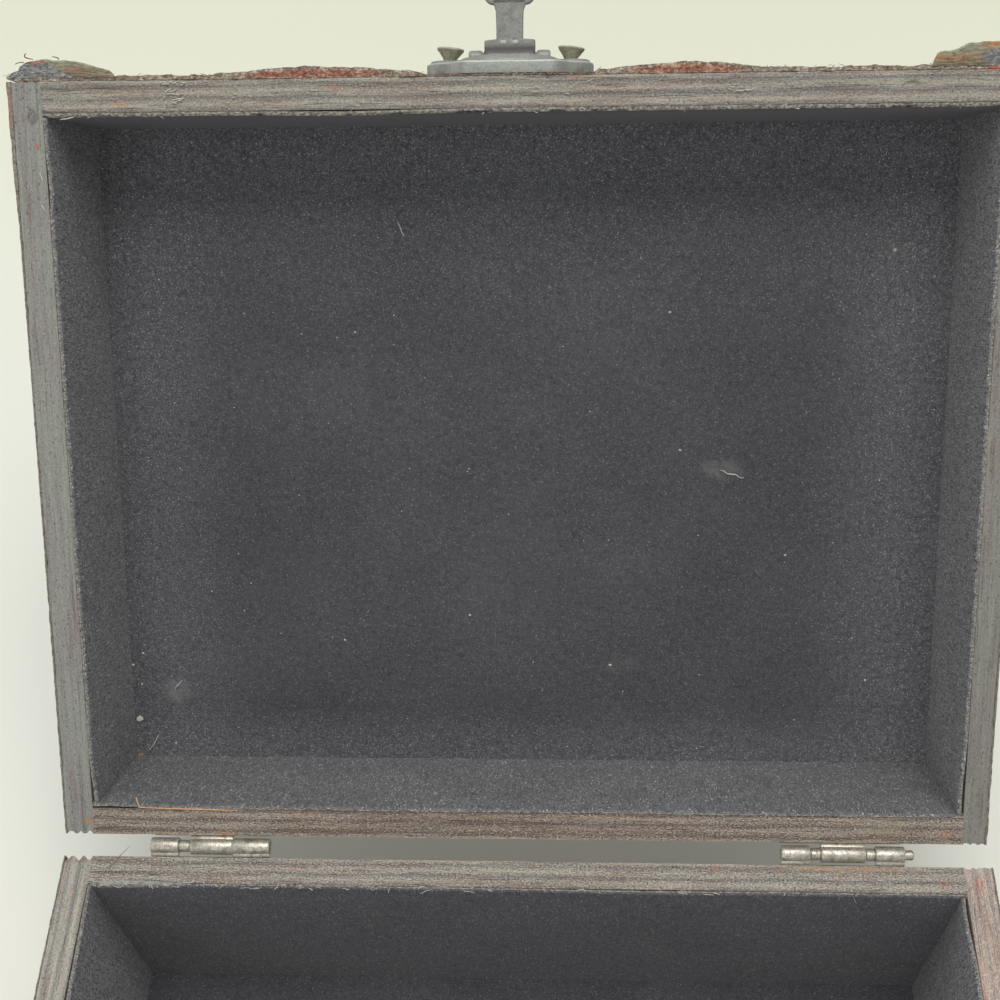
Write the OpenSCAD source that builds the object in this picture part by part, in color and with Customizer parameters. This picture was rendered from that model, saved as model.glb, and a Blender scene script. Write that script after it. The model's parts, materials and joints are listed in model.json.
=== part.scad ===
// Keepsake box: two plywood trays joined by a pair of barrel hinges and held shut by a hasp.
// Origin: centre of the base's underside. +X to the right, +Y to the hinges, +Z up.
// The lid is drawn closed and then turned open about the hinge pins.

/* [Box] */
// Overall width, over the leather on both sides
box_w = 200; // [150:1:320]
// Depth of the plywood, from the front wall's face to the rear wall's face
box_d = 157; // [110:1:240]
// Height of the base, from its underside to its rim
base_h = 62; // [48:1:110]
// Height of the lid's plywood, from its rim to its top
lid_h = 37; // [34:1:60]
// Thickness of the plywood walls
ply_t = 6; // [5.6:0.1:9]
// Thickness of the base's floor
floor_t = 5; // [3:0.1:8]
// Thickness of the lid's top panel
top_t = 5; // [3:0.1:8]
// Gap between the two rims when the lid is closed
rim_gap = 0.3; // [0.2:0.05:0.6]
// How far the lid stands open
lid_open = 133; // [0:1:180]

/* [Lining and leather] */
// Thickness of the flocked card
lining_t = 0.8; // [0.5:0.1:1.5]
// How far the card's cut edge lies below the rim
lining_drop = 0.3; // [0.1:0.1:1.5]
// Thickness of the leather cover
skin_t = 0.6; // [0.4:0.1:1.2]
// How far the leather stops above the underside
skin_hem = 1.5; // [0.5:0.1:4]

/* [Front relief] */
// How far the bosses and swells are centred above the rim
relief_up = 8; // [4:0.5:12]
// Footprint radius of a corner boss
boss_r = 13; // [9:0.5:18]
// Height of a corner boss over the leather
boss_t = 5.4; // [3:0.1:8]
// Distance of a corner boss's centre from the side of the box
boss_in = 6.5; // [3:0.5:10]
// Height of the two swells over the leather
swell_t = 1.5; // [0.6:0.1:2.5]
// Footprint radius of the left swell
left_swell_r = 21; // [12:0.5:22]
// Distance of the left swell's centre from the latch
left_swell_x = 38.1; // [37.5:0.1:42]
// Footprint radius of the right swell
right_swell_r = 17.6; // [12:0.1:18]
// Distance of the right swell's centre from the latch
right_swell_x = 34.4; // [34.1:0.1:38]

/* [Hinges] */
// Distance of a hinge's centre from the side of the box
hinge_in = 32; // [20:1:50]
// Distance of the pin's axis behind the rear walls
axis_back = 2.4; // [2.2:0.1:3]
// Outer radius of the rolled barrel
barrel_r = 1.9; // [1.6:0.05:2]
// Radius of the hinge pin
hinge_pin_r = 1.05; // [0.8:0.05:1.2]
// Radial running clearance of a turning barrel on its pin
pin_play = 0.07; // [0.02:0.01:0.1]
// Length of the whole barrel
barrel_l = 26; // [25.8:0.1:30]
// Length of the lid leaf's middle barrel
mid_barrel_l = 9.5; // [6:0.1:9.6]
// Length of the shorter end barrels
end_barrel_l = 6.1; // [4:0.1:6.5]
// Length of the left hinge's longer right end barrel
long_barrel_l = 8; // [4:0.1:8]
// How far the right hinge's pin stands out of its barrel
pin_out = 2; // [0.2:0.1:3]
// Thickness of a hinge leaf
leaf_t = 0.8; // [0.5:0.1:1]
// Height of a hinge leaf, from the axis to its far edge
leaf_h = 15; // [12:0.5:22]
// Distance of the leaf's screws from the hinge's centre
leaf_screw_x = 8.5; // [5:0.5:9]

/* [Screws] */
// Radius of a small pan head
pan_r = 1.7; // [1.3:0.1:2.2]
// Height of a small pan head
pan_t = 0.7; // [0.4:0.1:0.8]
// Radius of a screw's shank
shank_r = 0.85; // [0.6:0.05:1.1]
// Length of a screw's shank in the wood
shank_l = 4.6; // [3:0.1:5]
// Clearance of a shank in its pilot hole
pilot_play = 0.03; // [0.02:0.01:0.1]

/* [Latch] */
// Offset of the latch from the box's middle
latch_x = -1.8; // [-10:0.1:10]
// Width of the latch plate's flat block
latch_w = 27.2; // [24:0.1:30]
// Length of the block's straight edges
latch_edge = 18.3; // [16:0.1:20]
// Height of the latch plate along the lid
latch_h = 15; // [14.5:0.1:18]
// How far the latch plate's lower edge lies above the rim
latch_up = 1.2; // [0.6:0.1:3]
// Thickness of the latch plate's block
latch_t = 2.5; // [2:0.1:3]
// Thickness of the raised crown on the block
crown_t = 1.3; // [0.8:0.1:1.6]
// Radius of the side lobes round the screws
lobe_r = 4.6; // [3.5:0.1:4.8]
// Distance of the latch screws from the latch's middle
latch_screw_x = 11.9; // [11:0.1:12.5]
// Radius of a latch screw's countersunk head
csk_r = 2.65; // [2.2:0.05:3]
// How far the latch screws' heads stand over the block
csk_out = 3; // [2.8:0.1:4]
// Height of the countersunk cone
csk_t = 2.2; // [1.5:0.1:2.4]
// How far the latch screws lean to the right
screw_lean = 6; // [0:1:8]

/* [Hasp] */
// Height of the hasp pin's axis above the lid's rim
hasp_pin_up = 6.5; // [6:0.1:8]
// Radius of the hasp pin
hasp_pin_r = 0.8; // [0.5:0.05:1]
// Outer radius of the hasp's barrel and its lugs
hasp_barrel_r = 1.5; // [1.3:0.05:1.7]
// Width of the hasp's barrel and shoulder
hasp_w = 10; // [8:0.1:11]
// Thickness of a lug beside the hasp's barrel
lug_w = 2.7; // [1.5:0.1:3]
// Gap between moving faces of the latch
latch_play = 0.3; // [0.2:0.05:0.4]
// Thickness of the hasp's strap
strap_t = 1.5; // [1:0.1:1.8]
// Length of the shoulder from the pin
shoulder_l = 3.1; // [3:0.1:5]
// Width of the neck
neck_w = 5.2; // [4:0.1:6]
// Width of the hasp's eye
eye_w = 10; // [8.5:0.1:12]
// How far the hasp stands lifted from its closed place
hasp_open = 90; // [0:1:150]

/* [Catch] */
// Distance of the staple below the base's rim
staple_down = 8; // [7.5:0.1:10]
// Thickness of the staple across the box
staple_w = 2.2; // [1.5:0.1:2.6]
// Half height of the staple
staple_r = 2.4; // [2:0.1:2.6]
// Radius of the hole in the staple
staple_hole_r = 1.2; // [0.8:0.1:1.4]
// Width of the catch plate
catch_w = 20; // [18:0.1:26]
// Height of the catch plate
catch_h = 11; // [9:0.1:13]
// Thickness of the catch plate
catch_t = 2; // [1:0.1:2.4]
// Distance of the catch screws from the staple
catch_screw_x = 7; // [6:0.1:7.5]

/* [Hidden] */
$fn = 64;

LEFT = -1;
RIGHT = 1;
FRONT = -1;
REAR = 1;

// Plywood inside the leather, and the room inside the walls
carcass_w = box_w - 2 * skin_t;
room_w = carcass_w - 2 * ply_t;
room_d = box_d - 2 * ply_t;
lid_rim_z = base_h + rim_gap;
// Tools that only cut reach this far past what they cut
past = 1;

// Hinge axis, midway between the closed rims
axis_y = box_d / 2 + axis_back;
axis_z = base_h + rim_gap / 2;
hinge_x = box_w / 2 - hinge_in;
// A leaf is cut away round the other leaf's barrels
notch = barrel_r - 0.1;
leaf_screw_z = leaf_h * 0.62;

// Front face's plane, and heights over it
front_y = -box_d / 2;
block_out = skin_t + latch_t;
crown_out = block_out + crown_t;
hasp_pin_out = crown_out - latch_play;
strap_out = crown_out + latch_play - hasp_pin_out;
catch_out = skin_t + catch_t;

// Hasp and staple, measured from the hasp pin down the closed front
staple_far = hasp_pin_up + rim_gap + staple_down;
hole_out = hasp_pin_out + strap_out + strap_t + staple_hole_r + latch_play;
staple_reach = sqrt(pow(staple_far + staple_r, 2) + pow(hole_out - hasp_pin_out, 2));
slot_near = staple_far - staple_r - 2 * latch_play;
slot_far = staple_reach + latch_play;
slot_w = staple_w + 3 * latch_play;
eye_top = slot_near - 2;
eye_far = slot_far + 2.4;
recess_up = 2 * hasp_barrel_r;

ply_colour = "#4a3f3a";
lining_colour = "#26262a";
leather_colour = "#5c2a1c";
boss_colour = "#8a7a58";
hinge_colour = "#a8a294";
latch_colour = "#7c7f7c";

// Turns what is drawn for the closed lid to where the open lid holds it
module opened() {
    translate([0, axis_y, axis_z])
        rotate([-lid_open, 0, 0])
            translate([0, -axis_y, -axis_z])
                children();
}

// Places a tray drawn with its panel down and its rim up as the lid
module as_lid() {
    opened()
        translate([0, 0, lid_rim_z + lid_h])
            mirror([0, 0, 1])
                children();
}

module block(x, y, z, w, d, h) {
    translate([x, y, z])
        cube([w, d, h]);
}

module rod_x(r, x0, x1) {
    translate([x0, 0, 0])
        rotate([0, 90, 0])
            cylinder(r = r, h = x1 - x0);
}

// Trays: the walls stand round the panel, and the side walls run the full depth

module tray_panel(t) {
    block(-room_w / 2, -room_d / 2, 0, room_w, room_d, t);
}

module tray_end_wall(side, h) {
    y = side == FRONT ? -box_d / 2 : room_d / 2;
    block(-room_w / 2, y, 0, room_w, ply_t, h);
}

module tray_side_wall(side, h) {
    x = side == LEFT ? -carcass_w / 2 : room_w / 2;
    block(x, -box_d / 2, 0, ply_t, box_d, h);
}

module tray_panel_lining(t) {
    block(-room_w / 2, -room_d / 2, t, room_w, room_d, lining_t);
}

module tray_end_lining(side, t, h) {
    y = side == FRONT ? -room_d / 2 : room_d / 2 - lining_t;
    z = t + lining_t;
    block(-room_w / 2, y, z, room_w, lining_t, h - lining_drop - z);
}

module tray_side_lining(side, t, h) {
    x = side == LEFT ? -room_w / 2 : room_w / 2 - lining_t;
    z = t + lining_t;
    depth = room_d - 2 * lining_t;
    block(x, -depth / 2, z, lining_t, depth, h - lining_drop - z);
}

module tray_side_skin(side, z, h) {
    x = side == LEFT ? -box_w / 2 : carcass_w / 2;
    block(x, -box_d / 2, z, skin_t, box_d, h - z);
}

module tray_front_skin(z, h) {
    block(-box_w / 2, front_y - skin_t, z, box_w, skin_t, h - z);
}

// Relief on the closed front: round caps that the saw has cut through at the rim

module cap(x, r, t) {
    ball = (r * r + t * t) / (2 * t);
    translate([x, front_y - skin_t, base_h + relief_up])
        rotate([90, 0, 0])
            rotate_extrude($fn = 96)
                intersection() {
                    translate([0, t - ball])
                        circle(r = ball, $fn = 720);
                    square([r, t]);
                }
}

module above_rim() {
    intersection() {
        children();
        block(-box_w / 2, front_y - base_h, lid_rim_z, box_w, base_h, lid_h);
    }
}

module below_rim() {
    intersection() {
        children();
        block(-box_w / 2, front_y - base_h, skin_hem, box_w, base_h, base_h - skin_hem);
    }
}

module swells() {
    cap(latch_x - left_swell_x, left_swell_r, swell_t);
    cap(latch_x + right_swell_x, right_swell_r, swell_t);
}

module boss_cap(side) {
    cap(side * (box_w / 2 - boss_in), boss_r, boss_t);
}

// Screws: drawn along -Y into the wood, with the head's seat at y = 0

module shank(play, l) {
    rotate([-90, 0, 0])
        cylinder(r = shank_r + play, h = l);
}

module pan_screw(l) {
    shank(0, l);
    difference() {
        rotate([90, 0, 0])
            cylinder(r1 = pan_r, r2 = pan_r * 0.8, h = pan_t);
        block(-pan_r, -pan_t, -shank_r / 4, 2 * pan_r, pan_t / 2, shank_r / 2);
    }
}

module csk_screw(l) {
    difference() {
        union() {
            rotate([90, 0, 0])
                cylinder(r = shank_r, h = csk_out - csk_t + past / 4);
            translate([0, csk_t - csk_out, 0])
                rotate([90, 0, 0])
                    cylinder(r1 = shank_r * 1.4, r2 = csk_r, h = csk_t);
            shank(0, l);
        }
        block(-csk_r, -csk_out, -shank_r / 3, 2 * csk_r, csk_t / 3, shank_r * 2 / 3);
    }
}

// Hinges: drawn about the pin's axis, with the rear walls at y = -axis_back

module leaf_hole_places() {
    for (x = [-leaf_screw_x, leaf_screw_x])
        translate([x, -axis_back, 0])
            children();
}

module knuckle(x0, x1) {
    rod_x(barrel_r, x0, x1);
    block(x0, -axis_back, 0, x1 - x0, axis_back, barrel_r);
}

// A leaf is drawn upwards, as on the lid, with a barrel over each span
module leaf(spans, bore_r) {
    difference() {
        union() {
            block(-barrel_l / 2, -axis_back, notch, barrel_l, leaf_t, leaf_h - notch);
            for (span = spans)
                knuckle(span[0], span[1]);
        }
        rod_x(bore_r, -barrel_l, barrel_l);
        leaf_hole_places()
            translate([0, -past, leaf_screw_z])
                shank(pilot_play, leaf_t + 2 * past);
    }
}

module at_hinge(side) {
    translate([side * hinge_x, axis_y, axis_z])
        children();
}

// The base leaf holds the pin in two end barrels, of which the right one may be longer
module hinge_base_leaf(side, right_l) {
    at_hinge(side)
        mirror([0, 0, 1])
            leaf([[-barrel_l / 2, end_barrel_l - barrel_l / 2], [barrel_l / 2 - right_l, barrel_l / 2]],
                hinge_pin_r + pilot_play);
}

module hinge_lid_leaf(side) {
    opened()
        at_hinge(side)
            leaf([[-mid_barrel_l / 2, mid_barrel_l / 2]], hinge_pin_r + pin_play);
}

module hinge_pin(side, out) {
    at_hinge(side)
        rod_x(hinge_pin_r, -barrel_l / 2, barrel_l / 2 + out);
}

// Screw places on both hinges' leaves, with +Y out of the box turned to face the head
module leaf_screw_places(up) {
    for (side = [LEFT, RIGHT])
        at_hinge(side)
            leaf_hole_places()
                translate([0, leaf_t, up * leaf_screw_z])
                    rotate([0, 0, 180])
                        children();
}

// Latch: drawn in place on the closed lid

module at_latch(out, up) {
    translate([latch_x, front_y - out, lid_rim_z + up])
        children();
}

module latch_screw_places() {
    for (side = [LEFT, RIGHT])
        at_latch(block_out, latch_up + latch_h / 2)
            translate([side * latch_screw_x, 0, 0])
                rotate([0, 0, screw_lean])
                    children();
}

module latch_outline(inset) {
    w = latch_w / 2 - inset;
    edge = latch_edge / 2 - inset / 2;
    low = latch_up + inset;
    high = latch_up + latch_h - inset;
    cut = w - edge;
    polygon([[-edge, low], [edge, low], [w, low + cut], [w, high - cut],
        [edge, high], [-edge, high], [-w, high - cut], [-w, low + cut]]);
}

module latch_slab(inset, from_out, to_out) {
    at_latch(from_out, 0)
        rotate([90, 0, 0])
            linear_extrude(to_out - from_out)
                latch_outline(inset);
}

module latch_screw_holes(l) {
    latch_screw_places()
        translate([0, -past, 0])
            shank(pilot_play, l);
}

module lugs() {
    lug_x = hasp_w / 2 + latch_play;
    at_latch(hasp_pin_out, hasp_pin_up)
        for (x = [-lug_x - lug_w, lug_x]) {
            rod_x(hasp_barrel_r, x, x + lug_w);
            block(x, 0, -hasp_barrel_r, lug_w, hasp_pin_out - skin_t, 2 * hasp_barrel_r);
        }
}

module latch_body() {
    difference() {
        union() {
            latch_slab(0, skin_t, block_out);
            // The crown lies between the rim and the hasp's barrel
            intersection() {
                latch_slab(crown_t, skin_t, crown_out);
                at_latch(crown_out, 0)
                    block(-latch_w, 0, 0, 2 * latch_w, crown_out, hasp_pin_up);
            }
            for (side = [LEFT, RIGHT])
                at_latch(skin_t, latch_up + latch_h / 2)
                    translate([side * latch_screw_x, 0, 0])
                        rotate([90, 0, 0])
                            cylinder(r = lobe_r, h = latch_t);
            lugs();
        }
        // Room for the hasp's barrel to turn
        at_latch(hasp_pin_out, hasp_pin_up)
            block(-hasp_w / 2 - latch_play, -past - hasp_barrel_r, -hasp_barrel_r - latch_play,
                hasp_w + 2 * latch_play, past + 2 * hasp_barrel_r + latch_play,
                hasp_barrel_r + latch_play + recess_up);
        at_latch(hasp_pin_out, hasp_pin_up)
            rod_x(hasp_pin_r + pilot_play, -latch_w, latch_w);
        latch_screw_holes(latch_t + 3 * past);
    }
}

// Hasp: drawn closed about its pin, hanging down with its strap in front of the crown

module strap(w, from_z, to_z) {
    block(-w / 2, -strap_out - strap_t, -to_z, w, strap_t, to_z - from_z);
}

module hasp_form() {
    difference() {
        union() {
            rod_x(hasp_barrel_r, -hasp_w / 2, hasp_w / 2);
            block(-hasp_w / 2, -strap_out - strap_t, -hasp_barrel_r, hasp_w, strap_out + strap_t, hasp_barrel_r);
            strap(hasp_w, 0, shoulder_l);
            strap(neck_w, 0, eye_top + past);
            strap(eye_w, eye_top, eye_far - eye_w / 2);
            translate([0, -strap_out, -eye_far + eye_w / 2])
                rotate([90, 0, 0])
                    cylinder(r = eye_w / 2, h = strap_t);
        }
        rod_x(hasp_pin_r + pin_play, -hasp_w, hasp_w);
        block(-slot_w / 2, -strap_out - strap_t - past, -slot_far, slot_w, strap_t + 2 * past,
            slot_far - slot_near);
    }
}

// Catch: drawn about the staple's root on the base's front

module at_catch(out) {
    translate([latch_x, front_y - out, base_h - staple_down])
        children();
}

module catch_screw_places() {
    for (side = [LEFT, RIGHT])
        at_catch(catch_out)
            translate([side * catch_screw_x, 0, 0])
                children();
}

module catch_screw_holes(l) {
    catch_screw_places()
        translate([0, -past, 0])
            shank(pilot_play, l + past);
}

module catch_body() {
    corner = catch_h / 4;
    difference() {
        union() {
            block_w = catch_w - 2 * corner;
            at_catch(skin_t) {
                block(-block_w / 2, -catch_t, -catch_h / 2, block_w, catch_t, catch_h);
                block(-catch_w / 2, -catch_t, -catch_h / 2 + corner, catch_w, catch_t, catch_h - 2 * corner);
                for (x = [-block_w / 2, block_w / 2], z = [corner - catch_h / 2, catch_h / 2 - corner])
                    translate([x, 0, z])
                        rotate([90, 0, 0])
                            cylinder(r = corner, h = catch_t);
            }
        }
        catch_screw_holes(catch_t + past);
    }
}

module staple_form() {
    out = hole_out - catch_out;
    at_catch(catch_out)
        difference() {
            union() {
                block(-staple_w / 2, -out, -staple_r, staple_w, out, 2 * staple_r);
                translate([0, -out, 0])
                    rod_x(staple_r, -staple_w / 2, staple_w / 2);
            }
            translate([0, -out, 0])
                rod_x(staple_hole_r, -staple_w, staple_w);
        }
}

// Sub-parts

module base_floor() {
    color(ply_colour)
        tray_panel(floor_t);
}

module base_front_wall() {
    color(ply_colour)
        difference() {
            tray_end_wall(FRONT, base_h);
            catch_screw_holes(catch_out + shank_l);
        }
}

module base_rear_wall() {
    color(ply_colour)
        difference() {
            tray_end_wall(REAR, base_h);
            leaf_screw_places(-1)
                shank(pilot_play, leaf_t + shank_l);
        }
}

module base_side_wall(side) {
    color(ply_colour)
        tray_side_wall(side, base_h);
}

module lid_top_panel() {
    color(ply_colour)
        as_lid()
            tray_panel(top_t);
}

module lid_front_wall() {
    color(ply_colour)
        difference() {
            as_lid()
                tray_end_wall(FRONT, lid_h);
            opened()
                latch_screw_holes(block_out + shank_l + past);
        }
}

module lid_rear_wall() {
    color(ply_colour)
        difference() {
            as_lid()
                tray_end_wall(REAR, lid_h);
            opened()
                leaf_screw_places(1)
                    shank(pilot_play, leaf_t + shank_l);
        }
}

module lid_side_wall(side) {
    color(ply_colour)
        as_lid()
            tray_side_wall(side, lid_h);
}

module base_lining(kind, side) {
    color(lining_colour) {
        if (kind == "panel") tray_panel_lining(floor_t);
        if (kind == "end") tray_end_lining(side, floor_t, base_h);
        if (kind == "side") tray_side_lining(side, floor_t, base_h);
    }
}

module lid_lining(kind, side) {
    color(lining_colour)
        as_lid() {
            if (kind == "panel") tray_panel_lining(top_t);
            if (kind == "end") tray_end_lining(side, top_t, lid_h);
            if (kind == "side") tray_side_lining(side, top_t, lid_h);
        }
}

module base_front_skin() {
    color(leather_colour)
        difference() {
            union() {
                tray_front_skin(skin_hem, base_h);
                below_rim()
                    swells();
            }
            catch_screw_holes(catch_out + past);
        }
}

module base_side_skin(side) {
    color(leather_colour)
        tray_side_skin(side, skin_hem, base_h);
}

module lid_front_skin() {
    color(leather_colour)
        opened()
            difference() {
                union() {
                    translate([0, 0, lid_rim_z])
                        tray_front_skin(0, lid_h);
                    above_rim()
                        swells();
                }
                latch_screw_holes(block_out + 2 * past);
            }
}

module lid_side_skin(side) {
    color(leather_colour)
        as_lid()
            tray_side_skin(side, 0, lid_h);
}

module lid_top_skin() {
    color(leather_colour)
        as_lid()
            block(-box_w / 2, front_y - skin_t, -skin_t, box_w, box_d + skin_t, skin_t);
}

module base_boss(side) {
    color(boss_colour)
        below_rim()
            boss_cap(side);
}

module lid_boss(side) {
    color(boss_colour)
        opened()
            above_rim()
                boss_cap(side);
}

module hinge_base_screws() {
    color(hinge_colour)
        leaf_screw_places(-1)
            pan_screw(leaf_t + shank_l - pilot_play);
}

module hinge_lid_screws() {
    color(hinge_colour)
        opened()
            leaf_screw_places(1)
                pan_screw(leaf_t + shank_l - pilot_play);
}

module latch_plate() {
    color(latch_colour)
        opened()
            latch_body();
}

module latch_screws() {
    color(latch_colour)
        opened()
            latch_screw_places()
                csk_screw(block_out + shank_l - pilot_play);
}

module hasp() {
    color(latch_colour)
        opened()
            at_latch(hasp_pin_out, hasp_pin_up)
                rotate([-hasp_open, 0, 0])
                    hasp_form();
}

module hasp_pin() {
    pin_l = hasp_w / 2 + latch_play + lug_w;
    color(latch_colour)
        opened()
            at_latch(hasp_pin_out, hasp_pin_up)
                rod_x(hasp_pin_r, -pin_l, pin_l);
}

module catch_plate() {
    color(latch_colour)
        catch_body();
}

module catch_staple() {
    color(latch_colour)
        staple_form();
}

module catch_screws() {
    color(latch_colour)
        catch_screw_places()
            pan_screw(catch_out + shank_l - pilot_play);
}

base_floor();
base_front_wall();
base_rear_wall();
base_side_wall(LEFT);  // base_left_wall
base_side_wall(RIGHT);  // base_right_wall
lid_top_panel();
lid_front_wall();
lid_rear_wall();
lid_side_wall(LEFT);  // lid_left_wall
lid_side_wall(RIGHT);  // lid_right_wall
base_lining("panel", 0);  // base_lining_floor
base_lining("end", FRONT);  // base_lining_front
base_lining("end", REAR);  // base_lining_rear
base_lining("side", LEFT);  // base_lining_left
base_lining("side", RIGHT);  // base_lining_right
lid_lining("panel", 0);  // lid_lining_top
lid_lining("end", FRONT);  // lid_lining_front
lid_lining("end", REAR);  // lid_lining_rear
lid_lining("side", LEFT);  // lid_lining_left
lid_lining("side", RIGHT);  // lid_lining_right
base_front_skin();
base_side_skin(LEFT);  // base_left_skin
base_side_skin(RIGHT);  // base_right_skin
lid_front_skin();
lid_side_skin(LEFT);  // lid_left_skin
lid_side_skin(RIGHT);  // lid_right_skin
lid_top_skin();
base_boss(LEFT);  // base_left_boss
base_boss(RIGHT);  // base_right_boss
lid_boss(LEFT);  // lid_left_boss
lid_boss(RIGHT);  // lid_right_boss
hinge_base_leaf(LEFT, long_barrel_l);  // left_hinge_base_leaf
hinge_lid_leaf(LEFT);  // left_hinge_lid_leaf
hinge_pin(LEFT, 0);  // left_hinge_pin
hinge_base_leaf(RIGHT, end_barrel_l);  // right_hinge_base_leaf
hinge_lid_leaf(RIGHT);  // right_hinge_lid_leaf
hinge_pin(RIGHT, pin_out);  // right_hinge_pin
hinge_base_screws();
hinge_lid_screws();
latch_plate();
latch_screws();
hasp();
hasp_pin();
catch_plate();
catch_staple();
catch_screws();
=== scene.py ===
"""Keepsake box: the looks of the two lined plywood trays, their leather, hinges and latch.

Shapes are worked out in millimetres on the closed box and turned open with the lid at the end.
"""
import json
import math

import bpy
import numpy as np
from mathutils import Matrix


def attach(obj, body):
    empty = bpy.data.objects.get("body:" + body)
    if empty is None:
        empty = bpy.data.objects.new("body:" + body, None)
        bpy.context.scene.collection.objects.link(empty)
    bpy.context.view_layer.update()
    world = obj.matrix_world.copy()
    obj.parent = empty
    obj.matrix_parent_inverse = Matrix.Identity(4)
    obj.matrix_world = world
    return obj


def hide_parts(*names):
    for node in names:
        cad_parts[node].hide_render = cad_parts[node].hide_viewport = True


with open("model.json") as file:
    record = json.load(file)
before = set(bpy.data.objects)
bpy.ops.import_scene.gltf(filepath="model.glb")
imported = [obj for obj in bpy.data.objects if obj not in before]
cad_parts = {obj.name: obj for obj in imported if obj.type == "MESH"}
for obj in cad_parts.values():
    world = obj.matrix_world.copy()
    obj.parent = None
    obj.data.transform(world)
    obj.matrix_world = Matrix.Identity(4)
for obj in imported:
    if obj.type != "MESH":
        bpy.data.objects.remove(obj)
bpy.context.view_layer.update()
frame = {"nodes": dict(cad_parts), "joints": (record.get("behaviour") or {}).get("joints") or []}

# The box's sizes, in millimetres
WIDTH, DEPTH, BASE_H, LID_H = 200.0, 157.0, 62.0, 37.0
PLY, FLOOR_T, TOP_T, GAP = 6.0, 5.0, 5.0, 0.3
CARD, CARD_DROP, SKIN, HEM = 0.8, 0.3, 0.6, 1.5
RIM_Z = BASE_H + GAP
ROOM_W = WIDTH - 2 * SKIN - 2 * PLY
ROOM_D = DEPTH - 2 * PLY
FRONT_Y = -DEPTH / 2
LATCH_X = -1.8
PIN_OUT, PIN_UP = 4.1, 6.5
HINGE_X, HINGE_SHIFT = WIDTH / 2 - 32, 0.35

joints = {j["name"]: j for j in frame["joints"]}
AXIS = np.array(joints["lid_hinge"]["pos_m"]) * 1000
OPEN = math.radians(joints["lid_hinge"]["range_deg"][0])

# The camera, from the fit to the photograph's rims
EYE = np.array([10.85, -45.39, 355.12])
RIGHT = np.array([0.99874, 0.03094, -0.03949])
DOWN = np.array([0.00302, -0.82284, -0.56827])
LOOK = np.array([-0.05008, 0.56743, -0.8219])
FOCAL, CENTRE = 1452.8, (500.0, 560.0)


def turned(p, angle):
    """Points turned about the hinge axis: y and z become y cos - z sin and y sin + z cos."""
    q = np.asarray(p, float) - AXIS
    c, s = math.cos(angle), math.sin(angle)
    return np.stack([q[..., 0], q[..., 1] * c - q[..., 2] * s, q[..., 1] * s + q[..., 2] * c], -1) + AXIS


def opened(p):
    """Closed-lid points, turned to where the open lid holds them."""
    return turned(p, OPEN)


def seen(px, py, tray, axis=2, value=None):
    """The closed-box point under a pixel: the camera's ray cut by the plane where one axis has a value."""
    if value is None:
        value = RIM_Z if tray == "lid" else BASE_H
    ray = (px - CENTRE[0]) / FOCAL * RIGHT + (py - CENTRE[1]) / FOCAL * DOWN + LOOK
    a, b = EYE, EYE + ray * 400
    if tray == "lid":
        a, b = turned(a, -OPEN), turned(b, -OPEN)
    return a + (b - a) * (value - a[axis]) / (b[axis] - a[axis])


def noise(p, step, seed, octaves=3):
    """Value noise from -1 to 1: random heights on a lattice of the given step, blended by a smooth
    cubic. Each further octave has half the step and half the height."""
    total, weight, size = 0.0, 0.0, 1.0
    for octave in range(octaves):
        q = np.asarray(p, float) / np.array(step, float) * 2 ** octave + 41.7 * octave + seed * 3.1
        cell = np.floor(q).astype(np.int64)
        t = q - cell
        t = t * t * (3 - 2 * t)
        value = 0.0
        for corner in range(8):
            bit = np.array([corner & 1, corner >> 1 & 1, corner >> 2 & 1])
            key = (cell + bit) @ np.array([374761393, 668265263, 1103515245]) + seed * 974711
            key = (key ^ (key >> 13)) * 1274126177
            key = (key ^ (key >> 16)) & 0xFFFF
            value = value + np.prod(np.where(bit, t, 1 - t), -1) * (key / 32767.5 - 1)
        total = total + value * size
        weight += size
        size *= 0.5
    return total / weight


def smooth(low, high, x):
    """0 below low, 1 above high, and a smooth cubic between."""
    t = np.clip((x - low) / (high - low), 0, 1)
    return t * t * (3 - 2 * t)


def spaced(start, end, step):
    """Evenly spaced numbers from start to end, about a step apart."""
    return np.linspace(start, end, max(2, int(round(abs(end - start) / step)) + 1))


def part(points, loop=False, **marks):
    """One closed surface: stations, each a closed ring of an even number of points."""
    return {"points": np.asarray(points, float), "loop": loop, "marks": marks}


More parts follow.
